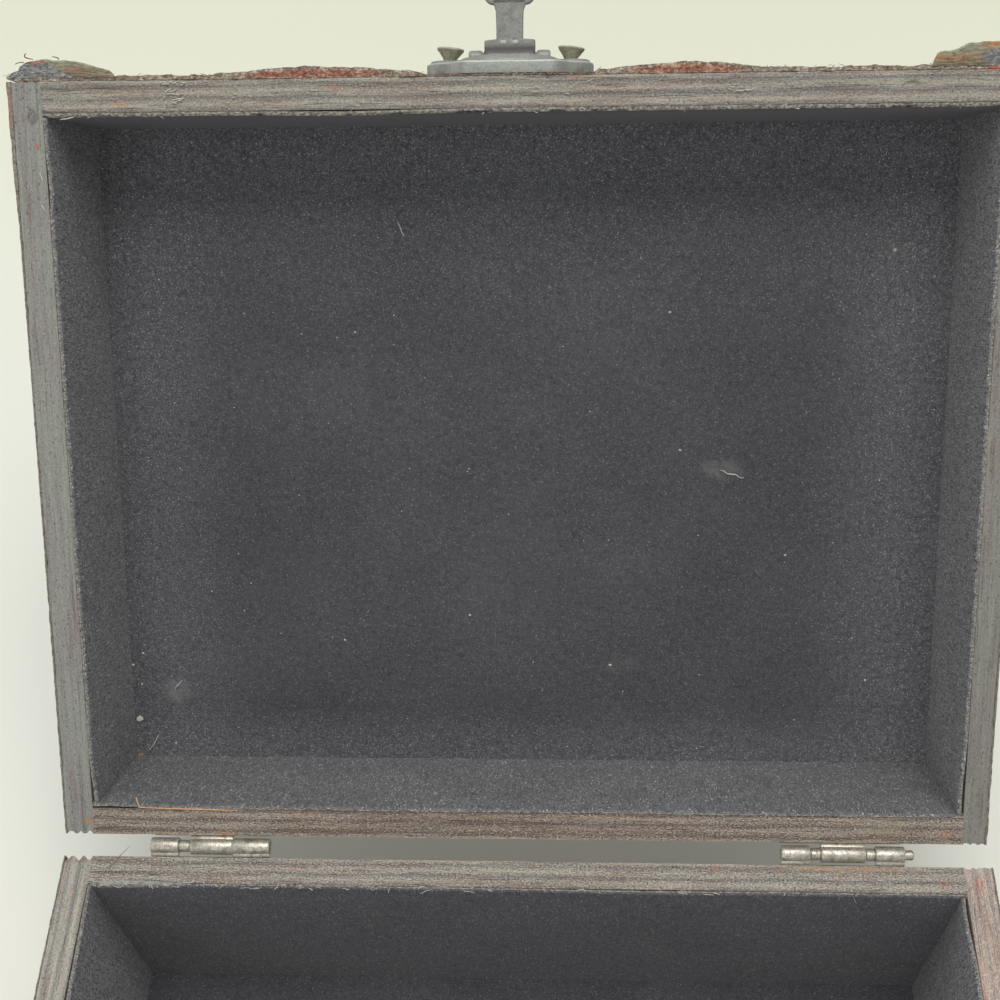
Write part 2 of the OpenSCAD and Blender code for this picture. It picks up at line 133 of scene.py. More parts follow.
def piece(name, parts, finish, body, nodes=(), angle=40):
    """Puts parts into one mesh. Neighbouring rings are joined by quads, an open row of rings is closed
    at both ends by a ladder of quads, and a part whose signed volume is negative is turned over."""
    verts, faces, marks, at = [], [], {}, 0
    names = sorted({k for p in parts for k in p["marks"]} | {"lay"})
    for p in parts:
        points = p["points"]
        n, m = points.shape[:2]
        index = np.arange(n * m).reshape(n, m)
        rows = np.vstack([index, index[:1]]) if p["loop"] else index
        beside = np.roll(rows, -1, 1)
        quads = [np.stack([rows[:-1], beside[:-1], beside[1:], rows[1:]], -1).reshape(-1, 4)]
        if not p["loop"]:
            k = np.arange(m // 2 - 1)
            first, last = index[0], index[-1]
            quads.append(np.stack([first[m - 1 - k], first[m - 2 - k], first[k + 1], first[k]], -1))
            quads.append(np.stack([last[k], last[k + 1], last[m - 2 - k], last[m - 1 - k]], -1))
        quads = np.vstack(quads)
        flat = points.reshape(-1, 3)
        a, b, c, d = (flat[quads[:, i]] - flat[0] for i in range(4))
        if np.sum(a * np.cross(b, c)) + np.sum(a * np.cross(c, d)) < 0:
            quads = quads[:, ::-1]
        verts.append(flat)
        faces.append(quads + at)
        at += n * m
        for mark in names:
            size = 3 if mark == "lay" else 4 if mark == "stain" else 1
            value = p["marks"].get(mark, points if mark == "lay" else np.zeros((n, m, size)))
            marks.setdefault(mark, []).append(np.broadcast_to(value, (n, m, size) if size > 1 else (n, m)
                                              if np.ndim(value) < 3 else (n, m, 1)).reshape(-1, size))
    verts = np.vstack(verts)
    world = opened(verts) if body in ("lid", "hasp") else verts
    mesh = bpy.data.meshes.new(name)
    mesh.from_pydata((world / 1000).tolist(), [], np.vstack(faces).tolist())
    kinds = {1: ("FLOAT", "value"), 3: ("FLOAT_VECTOR", "vector"), 4: ("FLOAT_COLOR", "color")}
    for mark in names:
        value = np.vstack(marks[mark]).astype(np.float32)
        kind, field = kinds[value.shape[1]]
        mesh.attributes.new(mark, kind, "POINT").data.foreach_set(field, value.ravel())
    mesh.shade_smooth()
    mesh.set_sharp_from_angle(angle=math.radians(angle))
    mesh.materials.append(finish)
    obj = bpy.data.objects.new(name, mesh)
    bpy.context.scene.collection.objects.link(obj)
    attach(obj, body)
    if nodes:
        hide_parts(*nodes)
    return obj


# Shader maths


def plug(tree, socket, value):
    """Links a wire to a socket, or sets a plain value on it."""
    if isinstance(value, Wire):
        tree.links.new(value.socket, socket)
    elif value is not None:
        if hasattr(socket.default_value, "__len__") and len(socket.default_value) == 4 and len(value) == 3:
            value = (*value, 1)
        socket.default_value = value


class Wire:
    """An output socket. Sums, products and powers of wires and numbers add Math nodes."""

    def __init__(self, tree, socket):
        self.tree = tree
        self.socket = socket

    def math(self, operation, *values, first=None):
        node = self.tree.nodes.new("ShaderNodeMath")
        node.operation = operation
        for socket, value in zip(node.inputs, (self if first is None else first, *values)):
            plug(self.tree, socket, value)
        return Wire(self.tree, node.outputs[0])

    def __add__(self, other):
        return self.math("ADD", other)

    def __sub__(self, other):
        return self.math("SUBTRACT", other)

    def __rsub__(self, other):
        return self.math("SUBTRACT", self, first=other)

    def __mul__(self, other):
        return self.math("MULTIPLY", other)

    def __truediv__(self, other):
        return self.math("DIVIDE", other)

    def __pow__(self, other):
        return self.math("POWER", other)

    __radd__ = __add__
    __rmul__ = __mul__

    def above(self, low, high):
        """0 below low and 1 above high, with an even ramp between."""
        return ((self - low) / (high - low)).math("MAXIMUM", 0.0).math("MINIMUM", 1.0)


class Finish:
    """A material with its Principled shader, and short ways to add the nodes that feed it."""

    def __init__(self, name, **constants):
        self.material = bpy.data.materials.new(name)
        self.material.use_nodes = True
        self.tree = self.material.node_tree
        self.shader = self.tree.nodes["Principled BSDF"]
        self.feed(**constants)

    def feed(self, **values):
        for name, value in values.items():
            plug(self.tree, self.shader.inputs[name.replace("_", " ")], value)

    def add(self, kind, settings=None, outlet=0, **values):
        """A node with its settings made first, then its inputs by name. stops sets a ramp's colours."""
        node = self.tree.nodes.new("ShaderNode" + kind)
        settings = dict(settings or {})
        stops = settings.pop("stops", None)
        for name, value in settings.items():
            setattr(node, name, value)
        if stops:
            ramp = node.color_ramp
            for place, _ in stops[2:]:
                ramp.elements.new(place)
            for element, (place, colour) in zip(sorted(ramp.elements, key=lambda e: e.position), stops):
                element.position = place
                element.color = (*colour, 1)
        for name, value in values.items():
            names = [s for s in node.inputs if s.name == name.replace("_", " ") and s.enabled]
            plug(self.tree, names[0], value)
        outlets = [s for s in node.outputs if s.enabled]
        return Wire(self.tree, outlets[outlet] if isinstance(outlet, int) else node.outputs[outlet])

    def mark(self, name, outlet="Vector"):
        return self.add("Attribute", {"attribute_name": name}, outlet=outlet)

    def noise(self, vector, scale, detail=4.0, rough=0.55, twist=0.0):
        """Noise whose scale is per millimetre, one number for each axis."""
        scaled = self.add("Mapping", Vector=vector, Scale=scale if hasattr(scale, "__len__") else (scale,) * 3)
        return self.add("TexNoise", Vector=scaled, Scale=1.0, Detail=detail, Roughness=rough, Distortion=twist)

    def cells(self, vector, scale, outlet="Distance", kind="F1"):
        """Voronoi cells: distance to the nearest of scattered points, or that cell's random colour."""
        scaled = self.add("Mapping", Vector=vector, Scale=scale if hasattr(scale, "__len__") else (scale,) * 3)
        return self.add("TexVoronoi", {"feature": kind}, outlet=outlet, Vector=scaled, Scale=1.0)

    def axis(self, vector, which):
        return self.add("SeparateXYZ", Vector=vector, outlet="XYZ"[which])

    def ramp(self, value, *stops):
        return self.add("ValToRGB", {"stops": stops}, outlet="Color", Fac=value)

    def mix(self, share, low, high, blend="MIX"):
        return self.add("Mix", {"data_type": "RGBA", "blend_type": blend}, Factor=share, A=low, B=high)

    def bump(self, height, distance, strength=1.0, normal=None):
        """A bump from a height in millimetres."""
        return self.add("Bump", Height=height, Strength=strength, Distance=distance / 1000, Normal=normal)


def srgb(*levels):
    """Screen levels from 0 to 255 as linear shares."""
    return tuple(v / 3294.6 if v <= 10 else ((v / 255 + 0.055) / 1.055) ** 2.4 for v in levels)


def ply_finish(name, tint=(1.0, 1.0, 1.0), brown=0.0, rough=1.0, rows=0.3, object_space=False):
    """Sawn five-ply gone grey: patches of grey and brown drawn out along the board, faint plies, a few thin
    cracks where a stretched noise crosses its middle, coarse grain, rows of torn pores, and painted stains."""
    f = Finish(name, Specular_IOR_Level=0.2)
    if object_space:
        place = f.add("TexCoord", outlet="Object")
        lay = f.add("Mapping", Vector=place, Scale=(1000, 1000, 1000))
    else:
        lay = f.mark("lay")
    even = min(1.0, rough)
    patch = f.noise(lay, (0.05, 0.4, 0.25), 4.0, 0.6)
    shade = f.noise(lay, (0.07, 1.3, 0.7), 5.0, 0.65)
    ridge = (f.noise(lay, (0.02, 0.9, 0.5), 2.0, 0.5, 0.15) - 0.5).math("ABSOLUTE")
    crack = (1 - ridge.above(0.002, 0.014)) * f.noise(lay, (0.06, 0.8, 0.6), 3.0).above(0.46, 0.6)
    fibre = f.noise(lay, (0.7, 4.0, 4.0), 4.0, 0.7)
    grain = f.noise(lay, (2.2, 3.4, 3.4), 2.0, 0.75)
    pores = f.cells(lay, (0.75, 1.15, 0.5))
    layers = ((f.axis(lay, 1) + (patch - 0.5) * 1.6 + (shade - 0.5) * 1.8) / 1.2).math("PINGPONG", 1.0)
    tone = f.ramp(patch + brown, (0.38, srgb(156, 157, 147)), (0.5, srgb(154, 149, 146)),
                  (0.64, srgb(142, 128, 118)))
    tone = f.mix((1 - layers.above(0.1, 0.4)) * rows, tone, srgb(104, 96, 92))
    tone = f.mix(layers.above(0.6, 0.9) * rows, tone, srgb(190, 174, 156))
    tone = f.mix(shade.above(0.5, 0.7) * (0.45 * even), tone, srgb(186, 182, 170))
    tone = f.mix((1 - shade).above(0.5, 0.7) * (0.4 * even), tone, srgb(108, 101, 98))
    tone = f.mix(fibre.above(0.51, 0.68) * 0.5 * rough, tone, srgb(196, 192, 181))
    tone = f.mix((1 - fibre).above(0.52, 0.68) * 0.5 * rough, tone, srgb(94, 88, 84))
    tone = f.mix(grain.above(0.53, 0.66) * 0.55 * rough, tone, srgb(76, 70, 67))
    tone = f.mix((1 - grain).above(0.55, 0.66) * 0.6 * rough, tone, srgb(214, 209, 198))
    tone = f.mix((1 - pores.above(0.12, 0.26)) * fibre.above(0.46, 0.56) * 0.7, tone, srgb(60, 54, 51))
    tone = f.mix(crack * (0.6 * even), tone, srgb(60, 54, 52))
    tone = f.mix((1 - layers.above(0.15, 0.45)) * fibre.above(0.42, 0.56) * (rows * 1.1), tone, srgb(70, 56, 48))
    tone = f.mix(layers.above(0.55, 0.85) * shade.above(0.42, 0.6) * (rows * 0.7), tone, srgb(204, 184, 162))
    tone = f.mix(1.0, tone, tint, "MULTIPLY")
    if not object_space:
        share = f.mark("stain", "Alpha") * f.noise(lay, (0.6, 1.6, 1.6), 4.0, 0.65).above(0.4, 0.62)
        tone = f.mix(share, tone, f.mark("stain", "Color"))
    height = shade * 0.4 + fibre * 0.4 + grain * -0.5 - crack * 0.4 + pores.above(0.1, 0.3) * 0.3
    f.feed(Base_Color=tone, Roughness=0.7 + fibre * 0.3, Normal=f.bump(height, 0.35, 0.8))
    return f.material


def flock_finish():
    """Black flocked card: short pile, sparks of light fibre, pale dust, and grey paper where the card is cut. Painted
    light and shade are laid on it by a level per point: painted sheen on the walls, painted light on the lid's panel
    by its walls and front, and painted shade on the lid's front card. The pile's noise is drawn out down the walls,
    which are seen nearly along their faces."""
    f = Finish("black_flock", Specular_IOR_Level=0.12, Sheen_Weight=0.22, Sheen_Roughness=0.45)
    lay = f.mark("lay")
    nap = f.mark("nap", "Fac")
    broad = f.noise(lay, 0.035, 4.0, 0.6)
    pile = f.noise(lay, (2.4, 2.4, 0.7), 2.0, 0.8)
    spark = f.noise(lay, (3.2, 3.2, 1.3), 1.0, 0.6)
    clump = f.noise(lay, (0.7, 0.7, 0.3), 3.0, 0.6)
    tone = f.ramp(broad, (0.3, srgb(59, 59, 65)), (0.7, srgb(75, 75, 80)))
    # painted light and shade: a level above zero lightens the pile toward grey, one below zero darkens it toward
    # black, and the pile's and sparks' contrast grows with it
    tone = f.mix(nap.above(0.0, 1.2) * 1.2, tone, srgb(150, 150, 154))
    tone = f.mix((0.0 - nap).above(0.0, 1.0), tone, srgb(26, 26, 29))
    tone = f.mix(pile.above(0.48, 0.68) * (nap * 1.1 + 0.07), tone, srgb(140, 140, 142))
    tone = f.mix((1 - pile).above(0.46, 0.66) * (nap * 0.9 + 0.14), tone, srgb(28, 28, 32))
    tone = f.mix(spark.above(0.63, 0.72) * (nap * 2.2 + 0.06), tone, srgb(200, 199, 194))
    tone = f.mix((1 - clump).above(0.5, 0.7) * 0.35, tone, srgb(42, 42, 46))
    dust = (1 - f.cells(lay, 0.75).above(0.05, 0.12)) * f.add(
        "SeparateColor", outlet="Red", Color=f.cells(lay, 0.75, "Color")).above(0.5, 0.56)
    tone = f.mix(dust * 0.7, tone, srgb(170, 168, 162))
    wear = f.mark("wear", "Fac")
    paper = f.ramp(f.noise(lay, (1.6, 2.4, 2.4), 3.0, 0.7), (0.36, srgb(84, 79, 76)), (0.5, srgb(132, 127, 119)),
                   (0.64, srgb(176, 170, 158)))
    tone = f.mix((wear + f.noise(lay, (1.1, 2.0, 2.0), 4.0) - 0.5).above(0.35, 0.75), tone, paper)
    smudge = f.mark("stain", "Alpha") * f.noise(lay, 0.7, 5.0, 0.65).above(0.3, 0.55)
    tone = f.mix(smudge, tone, f.mark("stain", "Color"))
    f.feed(Base_Color=tone, Roughness=0.95, Normal=f.bump(pile * 0.8 + clump * 0.6, 0.3, 0.9))
    return f.material


def leather_finish(name, deep, mid, worn, cut_low, cut_high):
    """Tooled leather: pebbled grain, dark wax in the hollows, rubbed crests, and flesh where it is cut."""
    f = Finish(name, Specular_IOR_Level=0.35)
    lay = f.mark("lay")
    relief = f.mark("relief", "Fac")
    cut = f.mark("cut", "Fac")
    thick = f.mark("thick", "Fac")
    grain = f.cells(lay, 1.7, kind="SMOOTH_F1")
    cloud = f.noise(lay, 0.06, 5.0, 0.6)
    scuff = f.noise(lay, (0.3, 0.9, 0.6), 6.0, 0.7)
    tone = f.mix((relief + (cloud - 0.5) * 0.6).above(0.1, 0.7), deep, mid)
    tone = f.mix(relief.above(0.6, 1.0) * scuff.above(0.4, 0.7) * 0.75, tone, worn)
    tone = f.mix(scuff.above(0.64, 0.74) * 0.5, tone, worn)
    tone = f.mix(grain.above(0.35, 0.75) * 0.3, tone, deep)
    fuzz = f.noise(lay, (1.5, 1.9, 2.4), 3.0, 0.75)
    flesh = f.ramp(fuzz, (0.34, cut_low[0]), (0.5, cut_low[1]), (0.68, cut_low[2]))
    core = f.ramp(fuzz, (0.34, cut_high[0]), (0.5, cut_high[1]), (0.68, cut_high[2]))
    tone = f.mix(cut, tone, f.mix((thick + (cloud - 0.5) * 0.5).above(0.15, 0.7), flesh, core))
    tone = f.mix(f.mark("stain", "Alpha") * scuff.above(0.35, 0.6), tone, f.mark("stain", "Color"))
    height = (1 - cut) * (grain * -0.5 + scuff * 0.3) + cut * fuzz
    f.feed(Base_Color=tone, Roughness=0.5 + scuff * 0.25 + cut * 0.3, Normal=f.bump(height, 0.25, 0.8))
    return f.material


def lump_finish():
    """Built-up corner leather: from brown at the skin to olive on top, grey felted fibre and red dye."""
    f = Finish("corner_leather", Specular_IOR_Level=0.2)
    lay = f.mark("lay")
    felt = f.mark("felt", "Fac")
    warp = f.noise(lay, 0.5, 5.0, 0.6)
    fuzz = f.noise(lay, (1.0, 2.4, 2.4), 6.0, 0.72)
    tone = f.ramp(f.mark("layer", "Fac") + (warp - 0.5) * 0.7, (0.05, srgb(116, 102, 91)),
                  (0.35, srgb(150, 130, 107)), (0.6, srgb(154, 144, 119)), (0.85, srgb(149, 150, 128)),
                  (1.0, srgb(173, 176, 154)))
    strata = (f.mark("layer", "Fac") * 5.0 + warp * 1.5).math("PINGPONG", 0.5)
    tone = f.mix(strata.above(0.28, 0.46) * 0.4, tone, srgb(186, 182, 158))
    tone = f.mix((0.5 - strata).above(0.32, 0.48) * 0.4, tone, srgb(98, 84, 72))
    wool = f.ramp(fuzz, (0.32, srgb(78, 78, 80)), (0.5, srgb(126, 127, 128)), (0.68, srgb(176, 176, 172)))
    tone = f.mix((felt + (warp - 0.5) * 1.7).above(0.3, 0.7), tone, wool)
    tone = f.mix(fuzz.above(0.58, 0.72) * 0.45, tone, srgb(196, 190, 166))
    tone = f.mix((1 - fuzz).above(0.58, 0.7) * 0.6, tone, srgb(62, 52, 46))
    tone = f.mix(f.mark("stain", "Alpha") * fuzz.above(0.35, 0.55), tone, f.mark("stain", "Color"))
    worn = f.ramp(warp, (0.36, srgb(72, 34, 26)), (0.52, srgb(112, 58, 42)), (0.68, srgb(150, 104, 76)))
    tone = f.mix(f.mark("hide", "Fac") * 0.9, tone, worn)
    f.feed(Base_Color=tone, Roughness=0.9, Normal=f.bump(fuzz + warp * 0.5, 0.45, 0.9))
    return f.material


def metal_finish(name, bright, dull, stained, metallic, rough, scratch=0.5, mottle=0.7):
    """Worn metal: cloudy tarnish, fine scratches, pits and dirt in the low places, lightened worn edges (on the latch
    plate also a painted highlight), and painted shade where it is marked.
    """
    f = Finish(name)
    lay = f.mark("lay")
    cloud = f.noise(lay, 0.45, 5.0, 0.65, 0.4)
    speck = f.noise(lay, 2.2, 4.0, 0.7)
    lines = f.noise(lay, (0.5, 9.0, 9.0), 3.0, 0.6)
    pits = f.cells(lay, 1.9)
    wear = f.mark("wear", "Fac")
    tone = f.ramp(cloud, (0.32, dull), (0.5, bright), (0.68, dull))
    tone = f.mix(speck.above(0.5, 0.68) * mottle, tone, stained)
    tone = f.mix(lines.above(0.55, 0.75) * scratch, tone, bright)
    # worn edges lightened; on the latch plate's bevel and crown lip this is also a painted highlight
    tone = f.mix(wear.above(0.5, 1.0) * 0.8, tone, tuple(min(1.0, c * 1.7) for c in bright))
    tone = f.mix((1 - pits.above(0.08, 0.2)) * 0.6, tone, stained)
    # painted shade: darkened where marked, under the latch screws' heads and at the hasp's pin
    tone = f.mix(f.mark("soot", "Fac"), tone, stained)
    roughness = rough + (speck - 0.5) * 0.3
    height = speck * 0.4 + lines * 0.15 + pits * 0.3 + cloud * 0.4
    f.feed(Base_Color=tone, Metallic=metallic, Roughness=roughness, Normal=f.bump(height, 0.12, 0.6))
    return f.material


def fibre_finish(name, low, high):
    """Loose fibre or dust: two close tones with a felted surface."""
    f = Finish(name, Specular_IOR_Level=0.2)
    fuzz = f.noise(f.mark("lay"), 2.2, 4.0, 0.7)
    tone = f.ramp(fuzz, (0.3, low), (0.7, high))
    f.feed(Base_Color=tone, Roughness=0.9, Normal=f.bump(fuzz, 0.1, 0.5))
    return f.material


CORE_CUT = (srgb(100, 62, 54), srgb(150, 100, 84), srgb(204, 164, 142))
TAN_CUT = (srgb(82, 70, 62), srgb(140, 126, 112), srgb(204, 196, 178))
GREY_CUT = (srgb(92, 85, 80), srgb(132, 126, 118), srgb(170, 164, 152))
ply = ply_finish("sawn_ply", tint=(0.93, 0.93, 0.91))
ply_left = ply_finish("sawn_ply_left", tint=(0.87, 0.89, 0.91), brown=-0.08, rough=0.5, rows=0.03)
ply_right = ply_finish("sawn_ply_right", tint=(0.78, 0.78, 0.78), brown=-0.06, rough=0.5, rows=0.03)
ply_side = ply_finish("sawn_ply_side", tint=(1.12, 1.13, 1.13), brown=-0.05, rough=0.8, rows=0.25)
ply_rosy = ply_finish("sawn_ply_rosy", tint=(1.4, 1.25, 1.22), rough=0.9, rows=0.2)
ply_rear = ply_finish("sawn_ply_brown", tint=(0.89, 0.83, 0.8), brown=0.05, rough=2.0, rows=0.42)
ply_hinge = ply_finish("sawn_ply_pale", tint=(0.98, 0.97, 0.96), rough=1.7, rows=0.3)
ply_panel = ply_finish("stained_ply_panel", tint=(0.5, 0.42, 0.36), object_space=True)
flock = flock_finish()
leather = leather_finish("oxblood_leather", srgb(52, 18, 14), srgb(104, 38, 28), srgb(150, 84, 58),
                         TAN_CUT, CORE_CUT)
side_leather = leather_finish("oxblood_side_leather", srgb(52, 18, 14), srgb(104, 38, 28), srgb(150, 84, 58),
                              GREY_CUT, CORE_CUT)
corner_leather = lump_finish()
hinge_steel = metal_finish("worn_plated_steel", srgb(206, 201, 188), srgb(152, 147, 136),
                           srgb(96, 83, 68), 0.75, 0.4, 0.4, 0.75)
latch_metal = metal_finish("antique_cast_metal", srgb(152, 156, 149), srgb(134, 138, 131),
                           srgb(104, 107, 102), 0.3, 0.5, 0.2, 0.4)
hasp_metal = metal_finish("dark_cast_metal", srgb(142, 144, 138), srgb(125, 125, 121),
                          srgb(68, 60, 62), 0.3, 0.55, 0.2, 0.4)
screw_metal = metal_finish("tarnished_brass", srgb(176, 173, 152), srgb(150, 145, 124),
                           srgb(100, 90, 72), 0.15, 0.5, 0.3, 0.7)
white_fibre = fibre_finish("white_lint", srgb(168, 164, 156), srgb(224, 222, 214))
tan_fibre = fibre_finish("tan_fibre", srgb(116, 100, 84), srgb(186, 172, 148))
red_fibre = fibre_finish("red_fibre", srgb(96, 46, 38), srgb(160, 96, 74))
dark_fibre = fibre_finish("dark_hair", srgb(58, 50, 44), srgb(112, 100, 88))
grey_fibre = fibre_finish("grey_hair", srgb(112, 110, 106), srgb(180, 177, 170))
splinter_wood = fibre_finish("splinter_wood", srgb(184, 140, 104), srgb(236, 196, 156))

# Walls: where each one's inner face starts on the rim, which way it runs and which way is out
WALLS = {
    "front": ((-ROOM_W / 2, -ROOM_D / 2), (1, 0), (0, -1), ROOM_W),
    "rear": ((-ROOM_W / 2, ROOM_D / 2), (1, 0), (0, 1), ROOM_W),
    "left": ((-ROOM_W / 2, -DEPTH / 2), (0, 1), (-1, 0), DEPTH),
    "right": ((ROOM_W / 2, -DEPTH / 2), (0, 1), (1, 0), DEPTH),
}


def on_wall(side, tray, s, a, h):
    """A point s along a wall, a out from its inner face and h from the rim, on the closed box."""
    start, along, out, _ = WALLS[side]
    s, a, h = np.broadcast_arrays(s, a, h)
    z = RIM_Z + h if tray == "lid" else BASE_H - h
    return np.stack([start[0] + along[0] * s + out[0] * a, start[1] + along[1] * s + out[1] * a, z], -1)


def painted(points, spots, tray):
    """Stain colour and share at each point: boxes of pixels laid on a plane, with ragged borders."""
    stain = np.zeros(points.shape[:2] + (4,))
    ragged = 0.7 * noise(points, 1.1, 5, 3)
    for (x0, y0, x1, y1), colour, share, owner, axis, value in spots:
        if owner != tray:
            continue
        a, b = seen(x0, y0, tray, axis, value), seen(x1, y1, tray, axis, value)
        mid, half = (a + b) / 2, np.abs(b - a) / 2 + 0.12
        half[axis] = 1.2
        reach = np.sqrt((((points - mid) / half) ** 2).sum(-1)) + ragged
        weight = share * (1 - smooth(0.6, 1.5, reach))
        better = weight > stain[..., 3]
        stain[better] = np.append(np.array(srgb(*colour)), 0)
        stain[..., 3] = np.where(better, weight, stain[..., 3])
    return stain


def spot(box, colour, share, tray="lid", axis=2, value=None):
    return (box, colour, share, tray, axis, value)


RIM_SPOTS = [
    spot((35, 143, 39, 148), (186, 96, 84), 0.8), spot((115, 102, 133, 106), (190, 134, 92), 0.8),
    spot((325, 85, 340, 90), (190, 136, 96), 0.8), spot((571, 74, 577, 78), (190, 118, 108), 0.8),
    spot((84, 819, 92, 824), (190, 122, 70), 0.8), spot((218, 831, 233, 836), (186, 120, 74), 0.8),
    spot((870, 820, 905, 836), (160, 156, 118), 0.5), spot((942, 831, 950, 838), (190, 122, 76), 0.8),
    spot((984, 430, 990, 450), (178, 168, 134), 0.6), spot((908, 80, 917, 83), (40, 36, 34), 1.0),
    spot((42, 112, 75, 118), (66, 60, 56), 0.7), spot((36, 160, 42, 260), (96, 88, 82), 0.4),
    spot((330, 812, 640, 836), (96, 74, 62), 0.45), spot((240, 828, 500, 838), (104, 80, 68), 0.4),
    spot((700, 84, 900, 88), (98, 92, 86), 0.4), spot((985, 64, 1012, 69), (192, 84, 62), 0.9),
    spot((545, 74, 562, 77), (50, 46, 46), 0.8), spot((22, 112, 38, 122), (52, 46, 44), 0.7),
    spot((711, 865, 719, 870), (190, 120, 110), 0.8, "base"),
    spot((780, 866, 905, 872), (190, 144, 98), 0.7, "base"),
    spot((940, 883, 949, 888), (172, 94, 78), 0.7, "base"), spot((975, 880, 985, 890), (176, 98, 82), 0.7, "base"),
    spot((62, 857, 95, 862), (124, 98, 82), 0.6, "base"), spot((300, 880, 620, 887), (128, 114, 102), 0.4, "base"),
]
SKIN_SPOTS = [
    spot((985, 64, 1012, 74), (196, 76, 52), 0.95), spot((420, 72, 440, 76), (150, 112, 92), 0.6),
    spot((4, 84, 14, 128), (160, 124, 106), 0.9), spot((916, 55, 940, 58), (132, 100, 80), 0.7), spot((64, 74, 120, 78), (60, 54, 52), 0.6),
]


def wall_board(side, tray, finish, seed):
    """A plywood wall: its cross-section runs up the inner face, over the rim and down the outer face,
    and is carried along the wall. The rim sinks by streaky relief, edges by wear, ends by torn plies."""
    length = WALLS[side][3]
    height = LID_H if tray == "lid" else BASE_H
    s = spaced(0, length, 0.4)
    rim = np.linspace(0, PLY, 25)
    upper = np.array([0.15, 0.45, 0.9, 1.6, 2.8, 5.0])
    lower = np.linspace(9, height - 1, 6)
    across = np.concatenate([upper * 0, rim, upper * 0 + PLY, lower * 0 + PLY, rim[::-1], lower * 0])
    low = np.concatenate([upper[::-1], rim * 0, upper, lower, rim * 0 + height, lower[::-1]])
    S, A, H = np.broadcast_arrays(s[:, None], across[None, :], low[None, :])
    q = np.stack([S, A, H], -1)
    near = np.exp(-H / 0.5)
    streak = noise(q, (22, 0.7, 9), seed, 3)
    pore = noise(q, (0.9, 1.1, 4), seed + 5, 3)
    layer = (np.floor((A + 0.5 * streak) / 1.2).astype(int) % 2).astype(float)
    groove = np.exp(-(noise(q, (26, 1.6, 9), seed + 9, 2) / 0.05) ** 2)
    sink = 0.12 + 0.1 * streak + layer * 0.05 + 0.08 * pore + 0.07 * groove
    wear = 0.2 + 0.3 * np.clip(noise(q, (9, 50, 50), seed + 2, 3), 0, 1) \
        + 0.5 * smooth(0.45, 0.8, noise(q, (3.2, 50, 50), seed + 3, 2))
    butted = side in ("front", "rear")
    free = 1.0 if butted else smooth(PLY - 0.5, PLY + 1, S) * smooth(PLY - 0.5, PLY + 1, length - S)
    wear = wear * (0.4 if side == "rear" else 1.0)
    inner = np.exp(-(A + H) / 0.45) * free
    outer = np.exp(-(PLY - A + H) / 0.45)
    low_h = H + near * sink + (inner * 0.12 + outer * 0.5) * wear
    out_a = (A + inner * wear * 0.05 - outer * wear * 0.25) * (1 - rubbed(side, tray, S, H) / PLY)
    grate = (A[0] + 1.1 * noise(q[0], (5, 1.9, 40), seed + 8, 2)) / 2.1 % 1
    notch = smooth(0.15, 0.35, grate) * (1 - smooth(0.55, 0.95, grate))
    teeth = (1.0 if side == "left" else 0.4) * notch * (0.75 + 0.5 * noise(q[0], (5, 2.5, 40), seed + 6, 1)) + 0.25 * np.abs(noise(q[0], (5, 0.5, 9), seed + 7, 2))
    torn = 0.0 if butted else teeth * (A[0] > 0.1)
    run = s[:, None] + 0.25 * torn * np.clip(1 - S / 2.5, 0, 1) ** 2 \
        - torn * np.clip(1 - (length - S) / 2.5, 0, 1) ** 2
    points = on_wall(side, tray, run, out_a, low_h)
    flat = on_wall(side, tray, S, A, H)
    lay = np.stack([S + 300 * seed, A, H], -1)
    return piece(f"{tray}_{side}_board", [part(points, lay=lay, stain=painted(flat, RIM_SPOTS, tray))],
                 finish, tray, (f"{tray}_{side}_wall",), 50)


def rubbed(side, tray, s, h):
    """How far the lid's right edge is rubbed away: more toward the hinges, none 5 mm below the rim."""
    if (side, tray) != ("right", "lid"):
        return 0 * h
    return 1.2 * smooth(0.1, 1.0, s / DEPTH) * np.clip(1 - h / 5, 0, 1)


FLOCK_SPOTS = [
    spot((167, 679, 191, 701), (140, 138, 134), 0.5, "lid", 2, RIM_Z + 31.2),
    spot((705, 462, 738, 478), (128, 126, 122), 0.4, "lid", 2, RIM_Z + 31.2),
    spot((885, 244, 905, 257), (120, 118, 116), 0.35, "lid", 2, RIM_Z + 31.2),
    spot((470, 500, 560, 620), (88, 88, 90), 0.25, "lid", 2, RIM_Z + 31.2),
    spot((240, 540, 330, 600), (84, 84, 86), 0.22, "lid", 2, RIM_Z + 31.2),
    spot((600, 655, 640, 672), (104, 102, 100), 0.3, "lid", 2, RIM_Z + 31.2),
    spot((86, 876, 172, 890), (166, 164, 159), 0.9, "base"), spot((95, 900, 116, 990), (186, 164, 134), 0.9, "base"),
]
# Where the card has come off its wall: middle, half width and lift, in millimetres along the wall
PEELS = {
    ("lid", "left"): [(149, 6, 0.6), (20, 5, 0.3)], ("lid", "right"): [(146, 9, 0.6)],
    ("lid", "rear"): [(4, 9, 0.5)], ("lid", "front"): [(60, 14, 0.3)],
    ("base", "left"): [(120, 30, 0.4)], ("base", "right"): [(146, 7, 0.7)],
    ("base", "rear"): [(2, 10, 0.15), (120, 20, 0.2)], ("base", "front"): [(90, 20, 0.4)],
}
# Painted light level of each card at the rim and at the panel: painted sheen lightens the walls, seen at a slant, and
# a level below zero is painted shade on the lid's front card
CARD_LIGHT_AND_SHADE = {
    ("lid", "left"): (0.6, 0.56), ("lid", "right"): (0.75, 0.75), ("lid", "rear"): (0.47, 0.44),
    ("lid", "front"): (-0.2, -0.3), ("base", "left"): (0.94, 0.9), ("base", "right"): (0.95, 0.8),
    ("base", "rear"): (0.2, 0.17), ("base", "front"): (0.1, 0.1),
}


